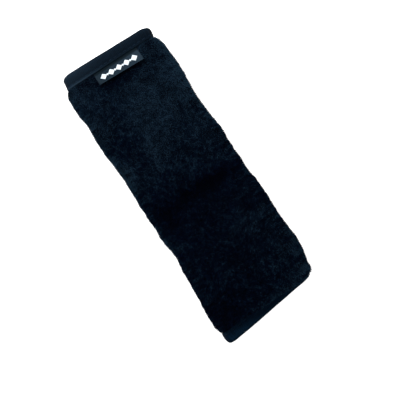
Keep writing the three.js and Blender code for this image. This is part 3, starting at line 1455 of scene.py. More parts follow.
@dataclass
class PaddedWrap:
    """Plush and foam as one padded body, closed on the lining's side by a coarser grid.

    One step of the coarse grid is as long as finer steps of the fine one. The cloth between the
    tufts has the pile's dark root colour, a painted shade. fill, which would be 1 for a
    hard-stuffed body, is not used.
    """

    face: PlushFace
    coarse_across: int = 62
    coarse_along: int = 74
    finer: int = 3
    # The cloth between the tufts takes mostly the root colour: painted shade under the pile.
    cloth_tip: float = 0.12
    cloth_tone: float = 0.4
    fill: float = 0.5
    outer_share: float = 0.78
    inner_start: float = 0.8
    inner_share: float = 0.19

    def make(self, material: bpy.types.Material) -> bpy.types.Object:
        """Args:
            material: The plush.

        Returns:
            The body.
        """
        blank = self.face.blank
        edge = blank.binding_span / 2
        around = np.linspace(edge, blank.width - edge, self.coarse_across * self.finer + 1)
        down = np.linspace(edge, blank.length - edge, self.coarse_along * self.finer + 1)
        fine = np.stack(np.meshgrid(around, down, indexing="ij"))
        coarse = fine[:, :: self.finer, :: self.finer]
        outer = self.face.at(*fine).reshape(-1, 3)
        outer[:, 2] = np.maximum(outer[:, 2], 0.0)
        inner = blank.place(*coarse, blank.foam_inner(*coarse)).reshape(-1, 3)
        first, count = len(outer), len(outer) + len(inner)
        back = grid_quads(*coarse.shape[1:])[:, ::-1] + first
        shell = Shell(
            np.concatenate([outer, inner]),
            quads=np.concatenate([grid_quads(*fine.shape[1:]), back]),
            triangles=self._rim(fine.shape[1:], coarse.shape[1:], first),
            sheet_uv=self._unwrapped(fine, coarse),
            shades={
                "tip": np.full(count, self.cloth_tip),
                "nap_and_painted_light": np.full(count, self.cloth_tone),
            },
        )
        body = shell.make("padded_wrap", material)
        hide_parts("plush_cover", "foam_padding")
        return body

    def _rim(self, fine: tuple[int, int], coarse: tuple[int, int], first: int) -> Array:
        """Triangles between the rims of the two grids, one coarse edge to three fine ones.

        Args:
            fine: The outer grid's rows and columns.
            coarse: The inner grid's rows and columns.
            first: The number of the inner grid's first point.

        Returns:
            Four triangles to each coarse edge.
        """
        f = rim_loop(*fine)
        c = rim_loop(*coarse) + first
        steps = [np.roll(f, -k)[:: self.finer] for k in range(self.finer + 1)]
        steps[-1] = np.roll(steps[0], -1)
        after = np.roll(c, -1)
        return np.concatenate(
            [
                np.stack([steps[1], steps[0], c], -1),
                np.stack([after, steps[1], c], -1),
                np.stack([steps[2], steps[1], after], -1),
                np.stack([steps[3], steps[2], after], -1),
            ]
        )

    def _unwrapped(self, fine: Array, coarse: Array) -> Array:
        """The two faces' places side by side on one square.

        Args:
            fine: Distances around the wrap and down the pad on the outer grid.
            coarse: The same on the inner grid.

        Returns:
            A place between 0 and 1 for each point.
        """
        whole = np.array([self.face.blank.width, self.face.blank.length])[:, None, None]
        outer, inner = fine / whole, coarse / whole
        outer[0] *= self.outer_share
        inner[0] = self.inner_start + inner[0] * self.inner_share
        return np.concatenate([np.moveaxis(part, 0, -1).reshape(-1, 2) for part in (outer, inner)])


@dataclass
class Pile:
    """The plush's pile: closed three-sided tufts that lean with the lie of the pile.

    A tuft stands for a lock of fibres. Its root is sunk in the cloth, and its tip leans along the
    lie of the pile, which runs to the foot end and swirls in patches where hands have brushed it.
    Under the pad it is pressed flat on what the pad lies on. Tufts are shorter by the shares
    near_seam, on_channel and under_tab. A real fibre is far too fine to show.

    The tone steps up from shaded_foot_tone to lit_head_tone over crease_over, along a line at crease_y
    that
    slants by crease_slant: painted shade on the foot half and painted light on the head half.
    fold_painted_light adds painted light towards both folds. The clumps stand out by contrast, and by
    the share head_calm less near the head end. The roots take the root colour, a painted shade.
    """

    face: PlushFace
    count: int = 170_000
    names: tuple[str, ...] = (
        "pile_left_back",
        "pile_front_left",
        "pile_front_right",
        "pile_right_back",
    )
    patches: tuple[int, int] = (260, 320)
    rng: np.random.Generator = field(default_factory=lambda: np.random.default_rng(5))
    past_flap: float = 1.0
    past_edge: float = 0.1
    past_end: float = 0.2
    root_radius: float = 0.13
    sunk: float = 0.25
    floor: float = 0.02
    length: float = 1.15
    lengths: tuple[Layer, ...] = (Layer(0.2, 2.2),)
    stray_length: float = 0.1
    near_seam: float = 0.45
    on_channel: float = 0.5
    channel_reach: float = 1.1
    under_tab: float = 0.6
    tab_middle: float = 2.0
    tab_half_width: float = 13.3
    tab_side_fade: float = 0.8
    tab_end: float = 70.5
    tab_end_fade: float = 2.0
    swirls: tuple[Layer, ...] = (Layer(1.0, 11.0, 13.0, 7.0), Layer(0.6, 4.5, 0.0, 31.0))
    swirl_turn: float = 1.1
    curls: tuple[Layer, ...] = (Layer(0.8, 1.9, 3.0, 3.0),)
    stray_turn: float = 0.3
    lean: float = 0.7
    leans: tuple[Layer, ...] = (Layer(0.25, 6.0, 90.0), Layer(0.3, 1.5, 0.0, 11.0))
    stray_lean: float = 0.12
    lean_range: tuple[float, float] = (0.15, 1.25)
    # The tone on the head half is painted light, and on the foot half painted shade.
    lit_head_tone: float = 0.70
    shaded_foot_tone: float = 0.42
    crease_y: float = -8.0
    crease_slant: float = 0.15
    crease_over: float = 30.0
    # Painted light towards the folds.
    fold_painted_light: float = 0.08
    fold_from: float = 20.0
    fold_over: float = 6.0
    stray_tone: float = 0.12
    shades: tuple[Layer, ...] = (Layer(0.07, 7.0, 0.0, 60.0),)
    clumps: tuple[Layer, ...] = (
        Layer(0.45, 2.1, 21.0),
        Layer(0.85, 1.1, 0.0, 17.0),
        Layer(1.0, 0.7, 5.0, 43.0),
    )
    contrast: float = 0.27
    head_calm: float = 0.22
    calm_from: float = 48.0
    calm_over: float = 12.0
    # The patches of tone. Painted shade: those in the crease at (10, -4.5), (-11, -5.5) and (-21, -12),
    # in the dent at (-18, -66), and under the label's lower edge at (2, 67.3). Painted light: those
    # beside the head binding at (-22, 75), (24, 73) and (19, 76.3), against its shade. The rest are
    # lighter and darker patches of pile.
    brushed_and_lit_patches: tuple[BrushedOrLitPatch, ...] = (
        BrushedOrLitPatch(-22.0, 75.0, 8.5, 3.5, 0.56), BrushedOrLitPatch(24.0, 73.0, 10.0, 6.0, 0.50),
        BrushedOrLitPatch(2.0, 67.3, 12.5, 3.8, -0.34), BrushedOrLitPatch(14.0, 50.0, 15.0, 16.0, 0.34),
        BrushedOrLitPatch(26.0, 54.0, 5.0, 20.0, 0.14), BrushedOrLitPatch(1.0, 43.0, 8.0, 10.0, 0.22),
        BrushedOrLitPatch(-24.0, 47.0, 5.0, 6.0, 0.20), BrushedOrLitPatch(-17.0, 37.0, 9.0, 6.0, -0.20),
        BrushedOrLitPatch(-5.0, 27.0, 6.0, 7.0, 0.26), BrushedOrLitPatch(-15.0, 24.0, 6.0, 5.0, -0.14),
        BrushedOrLitPatch(10.0, 27.0, 6.0, 5.0, -0.10), BrushedOrLitPatch(-26.0, 19.0, 4.0, 9.0, 0.34),
        BrushedOrLitPatch(10.0, -4.5, 11.0, 4.0, -0.70), BrushedOrLitPatch(-11.0, -5.5, 11.0, 4.0, -0.40),
        BrushedOrLitPatch(-21.0, -12.0, 6.0, 8.0, -0.40), BrushedOrLitPatch(-26.5, -16.0, 3.5, 15.0, 0.36),
        BrushedOrLitPatch(12.0, -36.0, 16.0, 8.0, 0.22), BrushedOrLitPatch(26.0, -56.0, 10.0, 20.0, 0.26),
        BrushedOrLitPatch(14.0, -75.0, 18.0, 6.0, 0.54), BrushedOrLitPatch(27.0, -23.0, 4.0, 8.0, -0.20),
        BrushedOrLitPatch(19.0, 76.3, 8.0, 2.8, 0.45), BrushedOrLitPatch(-18.0, -66.0, 8.0, 7.0, -0.24),
    )

    def make(self, material: bpy.types.Material) -> list[bpy.types.Object]:
        """Builds the tufts in strips across the pad.

        Args:
            material: The plush.

        Returns:
            One object to each strip.
        """
        around, down = self._roots()
        order = np.argsort(around, kind="stable")
        pieces = []
        for name, strip in zip(self.names, np.array_split(order, len(self.names))):
            piece = self._tufts(around[strip], down[strip]).make(name, material, smooth=False)
            pieces.append(piece)
        return pieces

    def _roots(self) -> tuple[Array, Array]:
        """Root places at random over the plush that shows, as many to each patch as its area asks.

        Returns:
            Distances around the wrap and down the pad.
        """
        blank = self.face.blank
        around = np.linspace(
            blank.overlap - self.past_flap,
            blank.width - blank.edge_binding + self.past_edge,
            self.patches[0],
        )
        down = np.linspace(
            blank.head_binding - self.past_end,
            blank.length - blank.foot_binding + self.past_end,
            self.patches[1],
        )
        cloth = self.face.at(*np.meshgrid(around, down, indexing="ij"))
        over, along = np.diff(cloth, axis=0)[:, :-1], np.diff(cloth, axis=1)[:-1]
        area = np.cumsum(np.linalg.norm(np.cross(over, along), axis=-1))
        drawn = (np.arange(self.count) + self.rng.random(self.count)) / self.count * area[-1]
        i, j = np.divmod(np.searchsorted(area, drawn), self.patches[1] - 1)
        part = self.rng.random((2, self.count))
        return around[i] + part[0] * (around[1] - around[0]), down[j] + part[1] * (down[1] - down[0])

    def _tufts(self, around: Array, down: Array) -> Shell:
        """Builds the tufts of one strip.

        A tuft is a tetrahedron: three root corners on a circle across its axis, and its tip.

        Args:
            around: Distance of each root along the wrap.
            down: Distance of each root from the head end.

        Returns:
            Four closed faces to each tuft, with the shades "tip" and "nap".
        """
        count = len(around)
        point, way_around, way_down, normal = self.face.frame(around, down)
        heading, lean = self._heading_and_lean(around, down)
        along = way_down * np.cos(heading)[:, None] + way_around * np.sin(heading)[:, None]
        axis = normal * np.cos(lean)[:, None] + along * np.sin(lean)[:, None]
        length = self._length(around, down)
        side = unit(np.cross(axis, along))
        other = np.cross(axis, side)
        turn = self.rng.random(count) * 2 * np.pi
        root = point - axis * self.sunk
        corners = []
        for third in range(3):
            angle = (turn + third * 2 * np.pi / 3)[:, None]
            corners.append(root + self.root_radius * (side * np.cos(angle) + other * np.sin(angle)))
        points = np.stack([*corners, point + axis * length[:, None]], 1).reshape(-1, 3)
        points[:, 2] = np.maximum(points[:, 2], self.floor)
        first = np.arange(count)[:, None] * 4
        faces = ((0, 1, 3), (1, 2, 3), (2, 0, 3), (0, 2, 1))
        # The tone holds the pile's own patches and clumps with painted light and shade.
        nap_and_painted_light = self.tone(around, down) + self.rng.normal(0.0, self.stray_tone, count)
        nap_and_painted_light = np.clip(nap_and_painted_light, 0.0, 1.0)
        # "tip" is 0 at the roots, where the material paints shade.
        return Shell(
            points,
            triangles=np.concatenate([first + np.array(face) for face in faces]),
            sheet_uv=self._cells(count),
            shades={"tip": np.tile([0.0, 0.0, 0.0, 1.0], count), "nap_and_painted_light": np.repeat(nap_and_painted_light, 4)},
        )

    def _heading_and_lean(self, around: Array, down: Array) -> tuple[Array, Array]:
        """Which way each tuft points and how far it leans over.

        Args:
            around: Distance of each root along the wrap.
            down: Distance of each root from the head end.

        Returns:
            Angles in radians: from the way down towards the way around, and from the normal.
        """
        noise = self.face.noise
        swirl = noise.layered(around, down, self.swirls)
        heading = self.swirl_turn * swirl + noise.layered(around, down, self.curls)
        heading = heading + self.rng.normal(0.0, self.stray_turn, len(around))
        lean = self.lean + noise.layered(around, down, self.leans)
        lean = lean + self.rng.normal(0.0, self.stray_lean, len(around))
        return heading, np.clip(lean, *self.lean_range)

    def _length(self, around: Array, down: Array) -> Array:
        """The length of each tuft, shorter at the seams, on the channels and under the tab.

        Args:
            around: Distance of each root along the wrap.
            down: Distance of each root from the head end.

        Returns:
            Lengths in millimetres.
        """
        uneven = self.face.noise.layered(around, down, self.lengths)
        uneven = 1 + uneven + self.rng.normal(0.0, self.stray_length, len(around))
        length = self.length * uneven
        seam = 1 - self.face.blank.fullness(around, down)
        channel = sum(bell(around - line, self.channel_reach) for line in self.face.channels)
        length = length * (1 - self.near_seam * seam)
        length = length * (1 - self.on_channel * np.clip(channel, 0, 1))
        x, y = self.face.blank.from_middle(around, down)
        tab = rise(self.tab_half_width - np.abs(x - self.tab_middle), self.tab_side_fade)
        tab = tab * rise(y - self.tab_end, self.tab_end_fade)
        return length * (1 - self.under_tab * tab)

    def tone(self, around: Array, down: Array) -> Array:
        """How light the pile is painted: a step at the crease, painted shade on the foot half and
        painted light on the head half; patches of brushed pile, painted light and painted shade;
        painted light towards the folds; and clumps.

        Args:
            around: Distance along the wrap.
            down: Distance from the head end.

        Returns:
            Tones, 0 for the darkest and 1 for the palest.
        """
        noise = self.face.noise
        x, y = self.face.blank.from_middle(around, down)
        past_crease = y - self.crease_y + self.crease_slant * x
        # A step at the crease: painted shade on the foot half, painted light on the head half.
        tone = self.shaded_foot_tone
        tone = tone + (self.lit_head_tone - self.shaded_foot_tone) * rise(past_crease, self.crease_over)
        # Patches of brushed pile, painted light and painted shade.
        tone = tone + sum(patch.at(x, y) for patch in self.brushed_and_lit_patches)
        # Painted light towards both folds.
        tone = tone + self.fold_painted_light * rise(np.abs(x) - self.fold_from, self.fold_over)
        tone = tone + noise.layered(around, down, self.shades)
        calm = 1 - self.head_calm * rise(y - self.calm_from, self.calm_over)
        return tone + self.contrast * noise.layered(around, down, self.clumps) * calm

    def _cells(self, count: int) -> Array:
        """Lays each tuft out in its own cell of an even square, root low and tip high.

        Args:
            count: The number of tufts.

        Returns:
            Four places between 0 and 1 to each tuft.
        """
        side = math.ceil(math.sqrt(count))
        cell = np.stack(np.divmod(np.arange(count), side), -1)[:, None, :]
        corners = np.array([[0.1, 0.12], [0.5, 0.04], [0.9, 0.12], [0.5, 0.92]])
        return ((cell + corners) / side).reshape(-1, 2)


@dataclass
class Binding:
    """Woven tape folded over one bound edge: an outer leaf, the turn and an inner leaf.

    The tape's middle line is worked out in the plane of (in from the edge, height), and its two
    faces lie half a thickness to each side, drawn together at the woven edges.

    Its edge lies at origin, around the wrap or down the pad, and the tape reaches inwards from
    there, as 1 or -1. It runs from first to last. Stitches pull it in by pull. Over shut_reach
    from the ends of an end binding, the leaves come together up to shut_gap. Three shares of the
    edge colour are given at the front's left, middle and right: on the woven edges at edge_line,
    wear with a painted highlight, strongest on the left; on the turn, a painted highlight; and on
    the whole leaf, painted light on the left.
    """

    blank: Blank
    name: str
    node: str
    width: float
    at_end: bool
    origin: float
    inwards: int
    first: float
    last: float
    stitch_inset: float = 1.5
    stitch_reach: float = 0.7
    seam_start: float = 1.0
    pull: float = 0.16
    pull_between: float = 0.45
    ripples: tuple[Layer, ...] = (Layer(0.07, 5.0), Layer(0.05, 1.6, 0.0, 40.0))
    edge_ripples: tuple[Layer, ...] = (Layer(0.09, 2.3, 70.0),)
    loose_edge: float = 0.9
    rim_reach: float = 0.5
    rim_least: float = 0.2
    shut_reach: float = 1.6
    shut_gap: float = 0.03
    edge_line: float = 0.4
    edge_reach: float = 0.7
    turn_reach: float = 4.0
    # Shares of wear with painted highlight along the woven edges, of painted highlight over the turn,
    # and of painted light over the whole leaf, at the front's left, middle and right.
    edge_wear_and_highlight: tuple[float, float, float] = (0.28, 0.055, 0.05)
    turn_highlight: tuple[float, float, float] = (0.11, 0.065, 0.06)
    leaf_painted_light: tuple[float, float, float] = (0.03, 0.01, 0.0)
    lines: int = 24
    spacing: float = 0.6
    noise: LatticeNoise = field(default_factory=lambda: LatticeNoise(23))

    @property
    def middle(self) -> float:
        """Half the bound edge's thickness, which is where the turn starts."""
        return self.blank.binding_span / 2

    @property
    def leaf(self) -> float:
        """The length of one flat leaf."""
        return self.width - self.middle

    @property
    def turn_radius(self) -> float:
        """The radius of the turn's middle line."""
        return self.middle - self.blank.tape / 2

    @property
    def tape_width(self) -> float:
        """The tape's whole width before it is folded."""
        return 2 * self.leaf + math.pi * self.turn_radius

    def middle_line(self, over: Array) -> tuple[Array, Array]:
        """The tape's middle line and its outward side.

        Args:
            over: Distance over the tape, from the outer leaf's woven edge to the inner leaf's.

        Returns:
            (in from the edge, height) pairs, and unit normals in the same plane.
        """
        angle = np.clip((over - self.leaf) / self.turn_radius, 0.0, math.pi)
        back = np.maximum(over - self.leaf - math.pi * self.turn_radius, 0.0)
        out = np.maximum(self.leaf - over, 0.0)
        inward = self.middle - self.turn_radius * np.sin(angle) + out + back
        height = self.middle + self.turn_radius * np.cos(angle)
        return np.stack([inward, height], -1), np.stack([-np.sin(angle), np.cos(angle)], -1)

    def at(self, along: Array, over: Array, offset: Array) -> Array:
        """Points of the tape.

        The cloth is drawn down by bells around each stitch, and ripples a little along its length.
        At the ends of the tape on a bound end, both leaves are sewn together flat.

        Args:
            along: Distance along the bound edge.
            over: Distance over the tape.
            offset: Distance from the middle line, outwards.

        Returns:
            Points in millimetres.
        """
        along, over, offset = np.broadcast_arrays(along, over, offset)
        line, normal = self.middle_line(over)
        from_edge = np.minimum(over, self.tape_width - over)
        stitch = np.cos(np.pi * (along - self.first) / STITCH_PITCH) ** 2
        pulled = self.pull_between + (1 - self.pull_between) * stitch
        drawn = self.pull * bell(from_edge - self.stitch_inset, self.stitch_reach) * pulled
        at_edge = rise(self.loose_edge - from_edge, self.loose_edge)
        loose = self.noise.layered(along, over, self.ripples)
        loose = loose + at_edge * self.noise.layered(along, over, self.edge_ripples)
        placed = line + normal * (offset - drawn + loose)[..., None]
        inward, height = placed[..., 0], placed[..., 1]
        if self.at_end:
            from_end = np.minimum(along - self.first, self.last - along)
            shut = 1 - rise(from_end, self.shut_reach)
            pressed = (self.blank.tape / 2 + self.shut_gap) / self.turn_radius
            height = height - (line[..., 1] - self.middle) * (1 - pressed) * shut
        place = self.origin + self.inwards * inward
        if self.at_end:
            return self.blank.place(along, place, height)
        return self.blank.place(place, along, height)

    def wear_and_painted_light(self, along: Array, over: Array) -> Array:
        """How far the tape is paled by wear and painted highlight.

        It is palest along its woven edges, worn and with a painted highlight, and over the turn, a
        painted highlight, and more on the left of the front than on the right, as painted light.

        Args:
            along: Distance along the bound edge.
            over: Distance over the tape.

        Returns:
            A share of the edge colour at each point.
        """
        blank = self.blank
        places = (blank.front, blank.front_middle, blank.right_fold)
        edge, turn, leaf = (
            blank.between(along, tuple(zip(places, shares)))
            for shares in (self.edge_wear_and_highlight, self.turn_highlight, self.leaf_painted_light)
        )
        from_edge = np.minimum(over, self.tape_width - over)
        line = bell(from_edge - self.edge_line, self.edge_reach)
        fold = bell(over - self.tape_width / 2, self.turn_reach)
        return leaf + edge * line + turn * fold

    def make(self, material: bpy.types.Material) -> bpy.types.Object:
        """Args:
            material: The tape's material.

        Returns:
            The tape.
        """
        along = np.linspace(self.first, self.last, int((self.last - self.first) / self.spacing))
        over = np.linspace(0.0, self.tape_width, self.lines)
        u, v = np.meshgrid(along, over, indexing="ij")
        rim = np.minimum(np.minimum(v, self.tape_width - v), np.minimum(u - self.first, self.last - u))
        half = self.blank.tape / 2 * rounded(rim, self.rim_reach, self.rim_least)
        pattern = np.stack([u, v], -1)
        # The shade "edge": wear and painted highlight.
        shell = slab(self.at(u, v, half), self.at(u, v, -half), pattern, edge=self.wear_and_painted_light(u, v))
        tape = shell.make(self.name, material)
        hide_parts(self.node)
        self.tape_width * MM
        return tape

    def seams(self) -> list[tuple[Array, Array]]:
        """The two stitched lines, one in each leaf.

        Returns:
            Points and normals along each, STITCH_STEPS to a stitch.
        """
        room = self.last - self.first - 2 * self.seam_start
        count = int(room / STITCH_PITCH) * STITCH_STEPS + 1
        along = self.first + self.seam_start + np.arange(count) * STITCH_PITCH / STITCH_STEPS
        found = []
        for over in (self.stitch_inset, self.tape_width - self.stitch_inset):
            line = np.full(count, over)
            top = self.at(along, line, np.full(count, self.blank.tape / 2))
            core = self.at(along, line, np.zeros(count))
            found.append((top, unit(top - core)))
        return found


@dataclass
class Stitching:
    """Lockstitches: short threads that rise from the cloth, lie on it and go down again.

    A thread spans share of its stitch. Its height is that of a half sine wave of height radii,
    which starts one radius under the cloth. tip is the square of the share of its thickness that
    it keeps at its ends.
    """

    name: str
    radius: float = 0.17
    sides: int = 5
    rings: int = 6
    share: float = 0.8
    height: float = 1.5
    tip: float = 0.25

    def make(
        self, seams: Sequence[tuple[Array, Array]], material: bpy.types.Material, slot: Slot
    ) -> bpy.types.Object:
        """Builds all stitches as closed tubes.

        Args:
            seams: For each seam, points and normals, STITCH_STEPS to a stitch.
            material: The thread's material.
            slot: The slot of the cloth that it sews. It is not used.

        Returns:
            The threads as one object.
        """
        t = np.linspace(0.0, 1.0, self.rings)
        angle = np.arange(self.sides) * 2 * np.pi / self.sides
        tubes = []
        for points, normals in seams:
            starts = np.arange(0, len(points) - STITCH_STEPS, STITCH_STEPS)
            place = starts[:, None] + t * self.share * STITCH_STEPS
            low = np.minimum(np.floor(place).astype(int), len(points) - 2)
            part = (place - low)[..., None]
            centre = points[low] * (1 - part) + points[low + 1] * part
            up = unit(normals[low] * (1 - part) + normals[low + 1] * part)
            arch = np.sin(np.pi * t)
            centre = centre + up * (self.radius * (self.height * arch - 1.0))[None, :, None]
            ahead = unit(np.gradient(centre, axis=1))
            aside = unit(np.cross(ahead, up))
            above = np.cross(aside, ahead)
            radius = self.radius * rounded(arch, 1.0, self.tip)
            ring = aside[:, :, None] * np.cos(angle)[:, None]
            ring = ring + above[:, :, None] * np.sin(angle)[:, None]
            tubes.append(centre[:, :, None] + ring * radius[:, None, None])
        points = np.concatenate(tubes)
        quads, triangles = self._faces(len(points))
        thread = Shell(points.reshape(-1, 3), quads, triangles).make(self.name, material)
        return thread

    def _faces(self, count: int) -> tuple[Array, Array]:
        """The walls of all tubes, and the fans that close their ends.

        Args:
            count: The number of tubes.

        Returns:
            Quads and triangles.
        """
        ring = np.arange(self.sides)
        beside = np.roll(ring, -1)
        wall = np.stack([ring, beside, beside + self.sides, ring + self.sides], -1)
        tube = (np.arange(self.rings - 1)[:, None, None] * self.sides + wall).reshape(-1, 4)
        k = np.arange(1, self.sides - 1)
        near = np.stack([np.zeros_like(k), k + 1, k], -1)
        ends = np.concatenate([near, near[:, ::-1] + (self.rings - 1) * self.sides])
        first = np.arange(count)[:, None, None] * self.rings * self.sides
        return (first + tube).reshape(-1, 4), (first + ends).reshape(-1, 3)


@dataclass
class Label:
    """A woven ribbon folded double, its root in the head binding's seam and its fold lifted.

    It bears a woven border of plain lozenges and squares. offset and askew place and turn it. It
    lies on the cloth by low_cover at the seam and by pile_cover over the pile, and past the seam
    it lifts and sways: more by corner_lift at the right corner, and less by left_share of that at
    the left one. Shares of the satin's edge colour pale the fold, the face, and more towards the
    right corner. Near the seam the face keeps the dark ground colour as painted shadow of the head
    binding.
    """

    face: PlushFace
    width: float = 27.0
    offset: float = 2.0
    root: float = 1.8
    drop: float = 7.8
    ply: float = 0.13
    fold_share: float = 0.75
    lift: float = 1.2
    lift_power: float = 1.5
    corner_lift: float = 0.6
    left_share: float = 0.5
    askew: float = 1.0
    low_cover: float = 0.8
    pile_cover: float = 1.0
    cover_from: float = 1.0
    cover_over: float = 2.0
    spread: tuple[float, ...] = (-4.0, -2.0, 0.0, 2.0, 4.0)
    seam_rise: float = 1.2
    swell_rise: float = 0.8
    sway: float = 0.12
    sway_turns: float = 1.1
    sway_start: float = 0.6
    lozenges: int = 5
    pitch: float = 4.7
    lozenge_half: tuple[float, float] = (2.0, 1.75)
    square_half: float = 0.7
    motif_centre: float = 4.6
    # Shares of the edge colour: on the fold, on the face and towards the right corner. The face is
    # paled only past a band at the seam, which keeps the dark ground as painted shadow.
    fold_paling: float = 0.10
    fold_paling_reach: float = 0.4
    face_paling: float = 0.036
    root_shadow_reach: float = 1.4
    root_shadow_fade: float = 0.9
    corner_paling: float = 0.032
    thread_rise: float = 0.05
    rim_reach: float = 0.25
    rim_least: float = 0.3
    grid: tuple[int, int] = (90, 40)
    motif_grid: int = 9

    @property
    def start(self) -> float:
        """The label's left edge around the wrap."""
        return self.face.blank.front_middle + self.offset - self.width / 2

    @property
    def fold(self) -> float:
        """The radius of the fold's middle line."""
        return self.ply * self.fold_share

    @property
    def leaf(self) -> float:
        """The length of one leaf, from the root to the fold."""
        return self.root + self.drop - self.fold

    @property
    def ribbon_length(self) -> float:
        """The length of the ribbon's middle line before it is lifted: both leaves and the fold."""
        return 2 * self.leaf + math.pi * self.fold

    def at(self, across: Array, over: Array, offset: Array) -> Array:
        """Points of the ribbon.

        The middle line runs out along the upper leaf, round the fold and back along the lower
        one. Past the seam both leaves lift with the way out, most at the right corner. The ribbon
        is stiff, so it lies on the highest of the cloth near by.

        Args:
            across: Distance from the label's left edge.
            over: Distance over the ribbon, from the upper leaf's root.
            offset: Distance from the middle line, to the ribbon's outer side.

        Returns:
            Points in millimetres.
        """
        blank = self.face.blank
        angle = np.clip((over - self.leaf) / self.fold, 0.0, np.pi)
        back = np.maximum(over - self.leaf - np.pi * self.fold, 0.0)
        out = np.minimum(over, self.leaf) + (self.fold + offset) * np.sin(angle) - back
        side = across / self.width
        past = np.maximum(out - self.root, 0.0) / self.drop
        out = out + self.askew * (side - 0.5) * past
        lift = self.lift + self.corner_lift * (side**3 - self.left_share * (1 - side) ** 3)
        sway = self.sway * np.sin(2 * np.pi * self.sway_turns * side + self.sway_start)
        height = (self.fold + offset) * np.cos(angle) + lift * past**self.lift_power + sway * past
        down = blank.head_binding - self.root + out
        around = self.start + across
        rest, swell = self._support(around, down, out - self.root)
        points = blank.place(around, down, rest + height)
        points[..., 2] += swell * rise(down - blank.head_binding, self.swell_rise)
        return points

    def _support(self, around: Array, down: Array, out: Array) -> tuple[Array, Array]:
        """What the ribbon lies on: the head binding's seam, then the highest cloth near by.

        Args:
            around: Distance along the wrap.
            down: Distance from the head end.
            out: Distance past the seam.

        Returns:
            Heights, and how far the settled cloth has risen.
        """
        blank = self.face.blank
        base = blank.bound_top + blank.label_gap + self.ply
        pile = rise(out - self.cover_from, self.cover_over)
        cover = self.low_cover + (self.pile_cover - self.low_cover) * pile
        spread = [around + step for step in self.spread]
        cloth = np.max([self.face.height(place, down) for place in spread], 0)
        swell = np.max([self.face.settling.at(place, down)[..., 2] for place in spread], 0)
        under = np.maximum(cloth + cover, base)
        return base + (under - base) * rise(out, self.seam_rise), swell

    def make(
        self, ribbon: bpy.types.Material, thread: bpy.types.Material
    ) -> tuple[bpy.types.Object, bpy.types.Object]:
        """Args:
            ribbon: The satin.
            thread: The border's thread.

        Returns:
            The ribbon and the border.
        """
        length = self.ribbon_length
        across = np.linspace(0.0, self.width, self.grid[0])
        over = np.linspace(0.0, length, self.grid[1])
        u, v = np.meshgrid(across, over, indexing="ij")
        half = self.ply / 2 * rounded(np.minimum(u, self.width - u), self.rim_reach, self.rim_least)
        from_seam = np.minimum(v, length - v) - self.root
        # Past a band at the seam the face is paled; in that band it keeps the dark ground colour as
        # painted shadow of the head binding.
        paling_and_painted_light = self.face_paling + self.corner_paling * u / self.width
        paling_and_painted_light = paling_and_painted_light * rise(from_seam - self.root_shadow_reach, self.root_shadow_fade)
        paling_and_painted_light = self.fold_paling * bell(v - length / 2, self.fold_paling_reach) + paling_and_painted_light
        shell = slab(self.at(u, v, half), self.at(u, v, -half), np.stack([u, v], -1), edge=paling_and_painted_light)
        made = shell.make("label_ribbon", ribbon)
        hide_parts("label_tab")
        middle = self.at(np.full(over.shape, self.width / 2), over, np.zeros(over.shape))
        self.width * MM
        return made, self._border(thread)

    def _border(self, thread: bpy.types.Material) -> bpy.types.Object:
        """The lozenges and the squares between them, as thin closed pads of raised thread.

        Args:
            thread: The thread's material.

        Returns:
            The border.
        """
        large = self.width / 2 + self.pitch * (np.arange(self.lozenges) - (self.lozenges - 1) / 2)
        small = (large[1:] + large[:-1]) / 2
        motifs = [(centre, *self.lozenge_half) for centre in large]
        motifs += [(centre, self.square_half, self.square_half) for centre in small]
        side = np.linspace(-1.0, 1.0, self.motif_grid)
        a, b = np.meshgrid(side, side, indexing="ij")
        pads = []
        for centre, half_u, half_v in motifs:
            u = centre + half_u * (a + b) / 2
            v = self.root + self.motif_centre + half_v * (a - b) / 2
            raised = np.full(u.shape, self.ply / 2 + self.thread_rise)
            sunk = np.full(u.shape, self.ply / 2 - self.thread_rise)
            pads.append(slab(self.at(u, v, raised), self.at(u, v, sunk), np.stack([u, v], -1)))
        border = joined(pads).make("label_border", thread)
        return border


@dataclass
class Lining:
    """The smooth knit inside the sleeve, with soft creases."""

    blank: Blank
    crease_depth: float = 0.05
    creases: tuple[Layer, ...] = (Layer(1.0, 6.0),)
    grid: tuple[int, int] = (96, 88)
    noise: LatticeNoise = field(default_factory=lambda: LatticeNoise(31))

    def make(self, material: bpy.types.Material) -> bpy.types.Object:
        """Args:
            material: The knit.

        Returns:
            The lining.
        """
        blank = self.blank
        edge = blank.binding_span / 2
        around = np.linspace(edge, blank.width - edge, self.grid[0])
        down = np.linspace(edge, blank.length - edge, self.grid[1])
        a, d = np.meshgrid(around, down, indexing="ij")
        creased = self.crease_depth * (self.noise.layered(a, d, self.creases) - 1)
        inner = blank.lining_inner(a, d) + blank.fullness(a, d) * creased
        top, bottom = blank.place(a, d, inner + blank.lining), blank.place(a, d, inner)
        shell = slab(top, bottom, np.stack([a, d], -1))
        cloth = shell.make("lining_cloth", material)
        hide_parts("inner_lining")
        blank.width * MM
        blank.length * MM
        return cloth


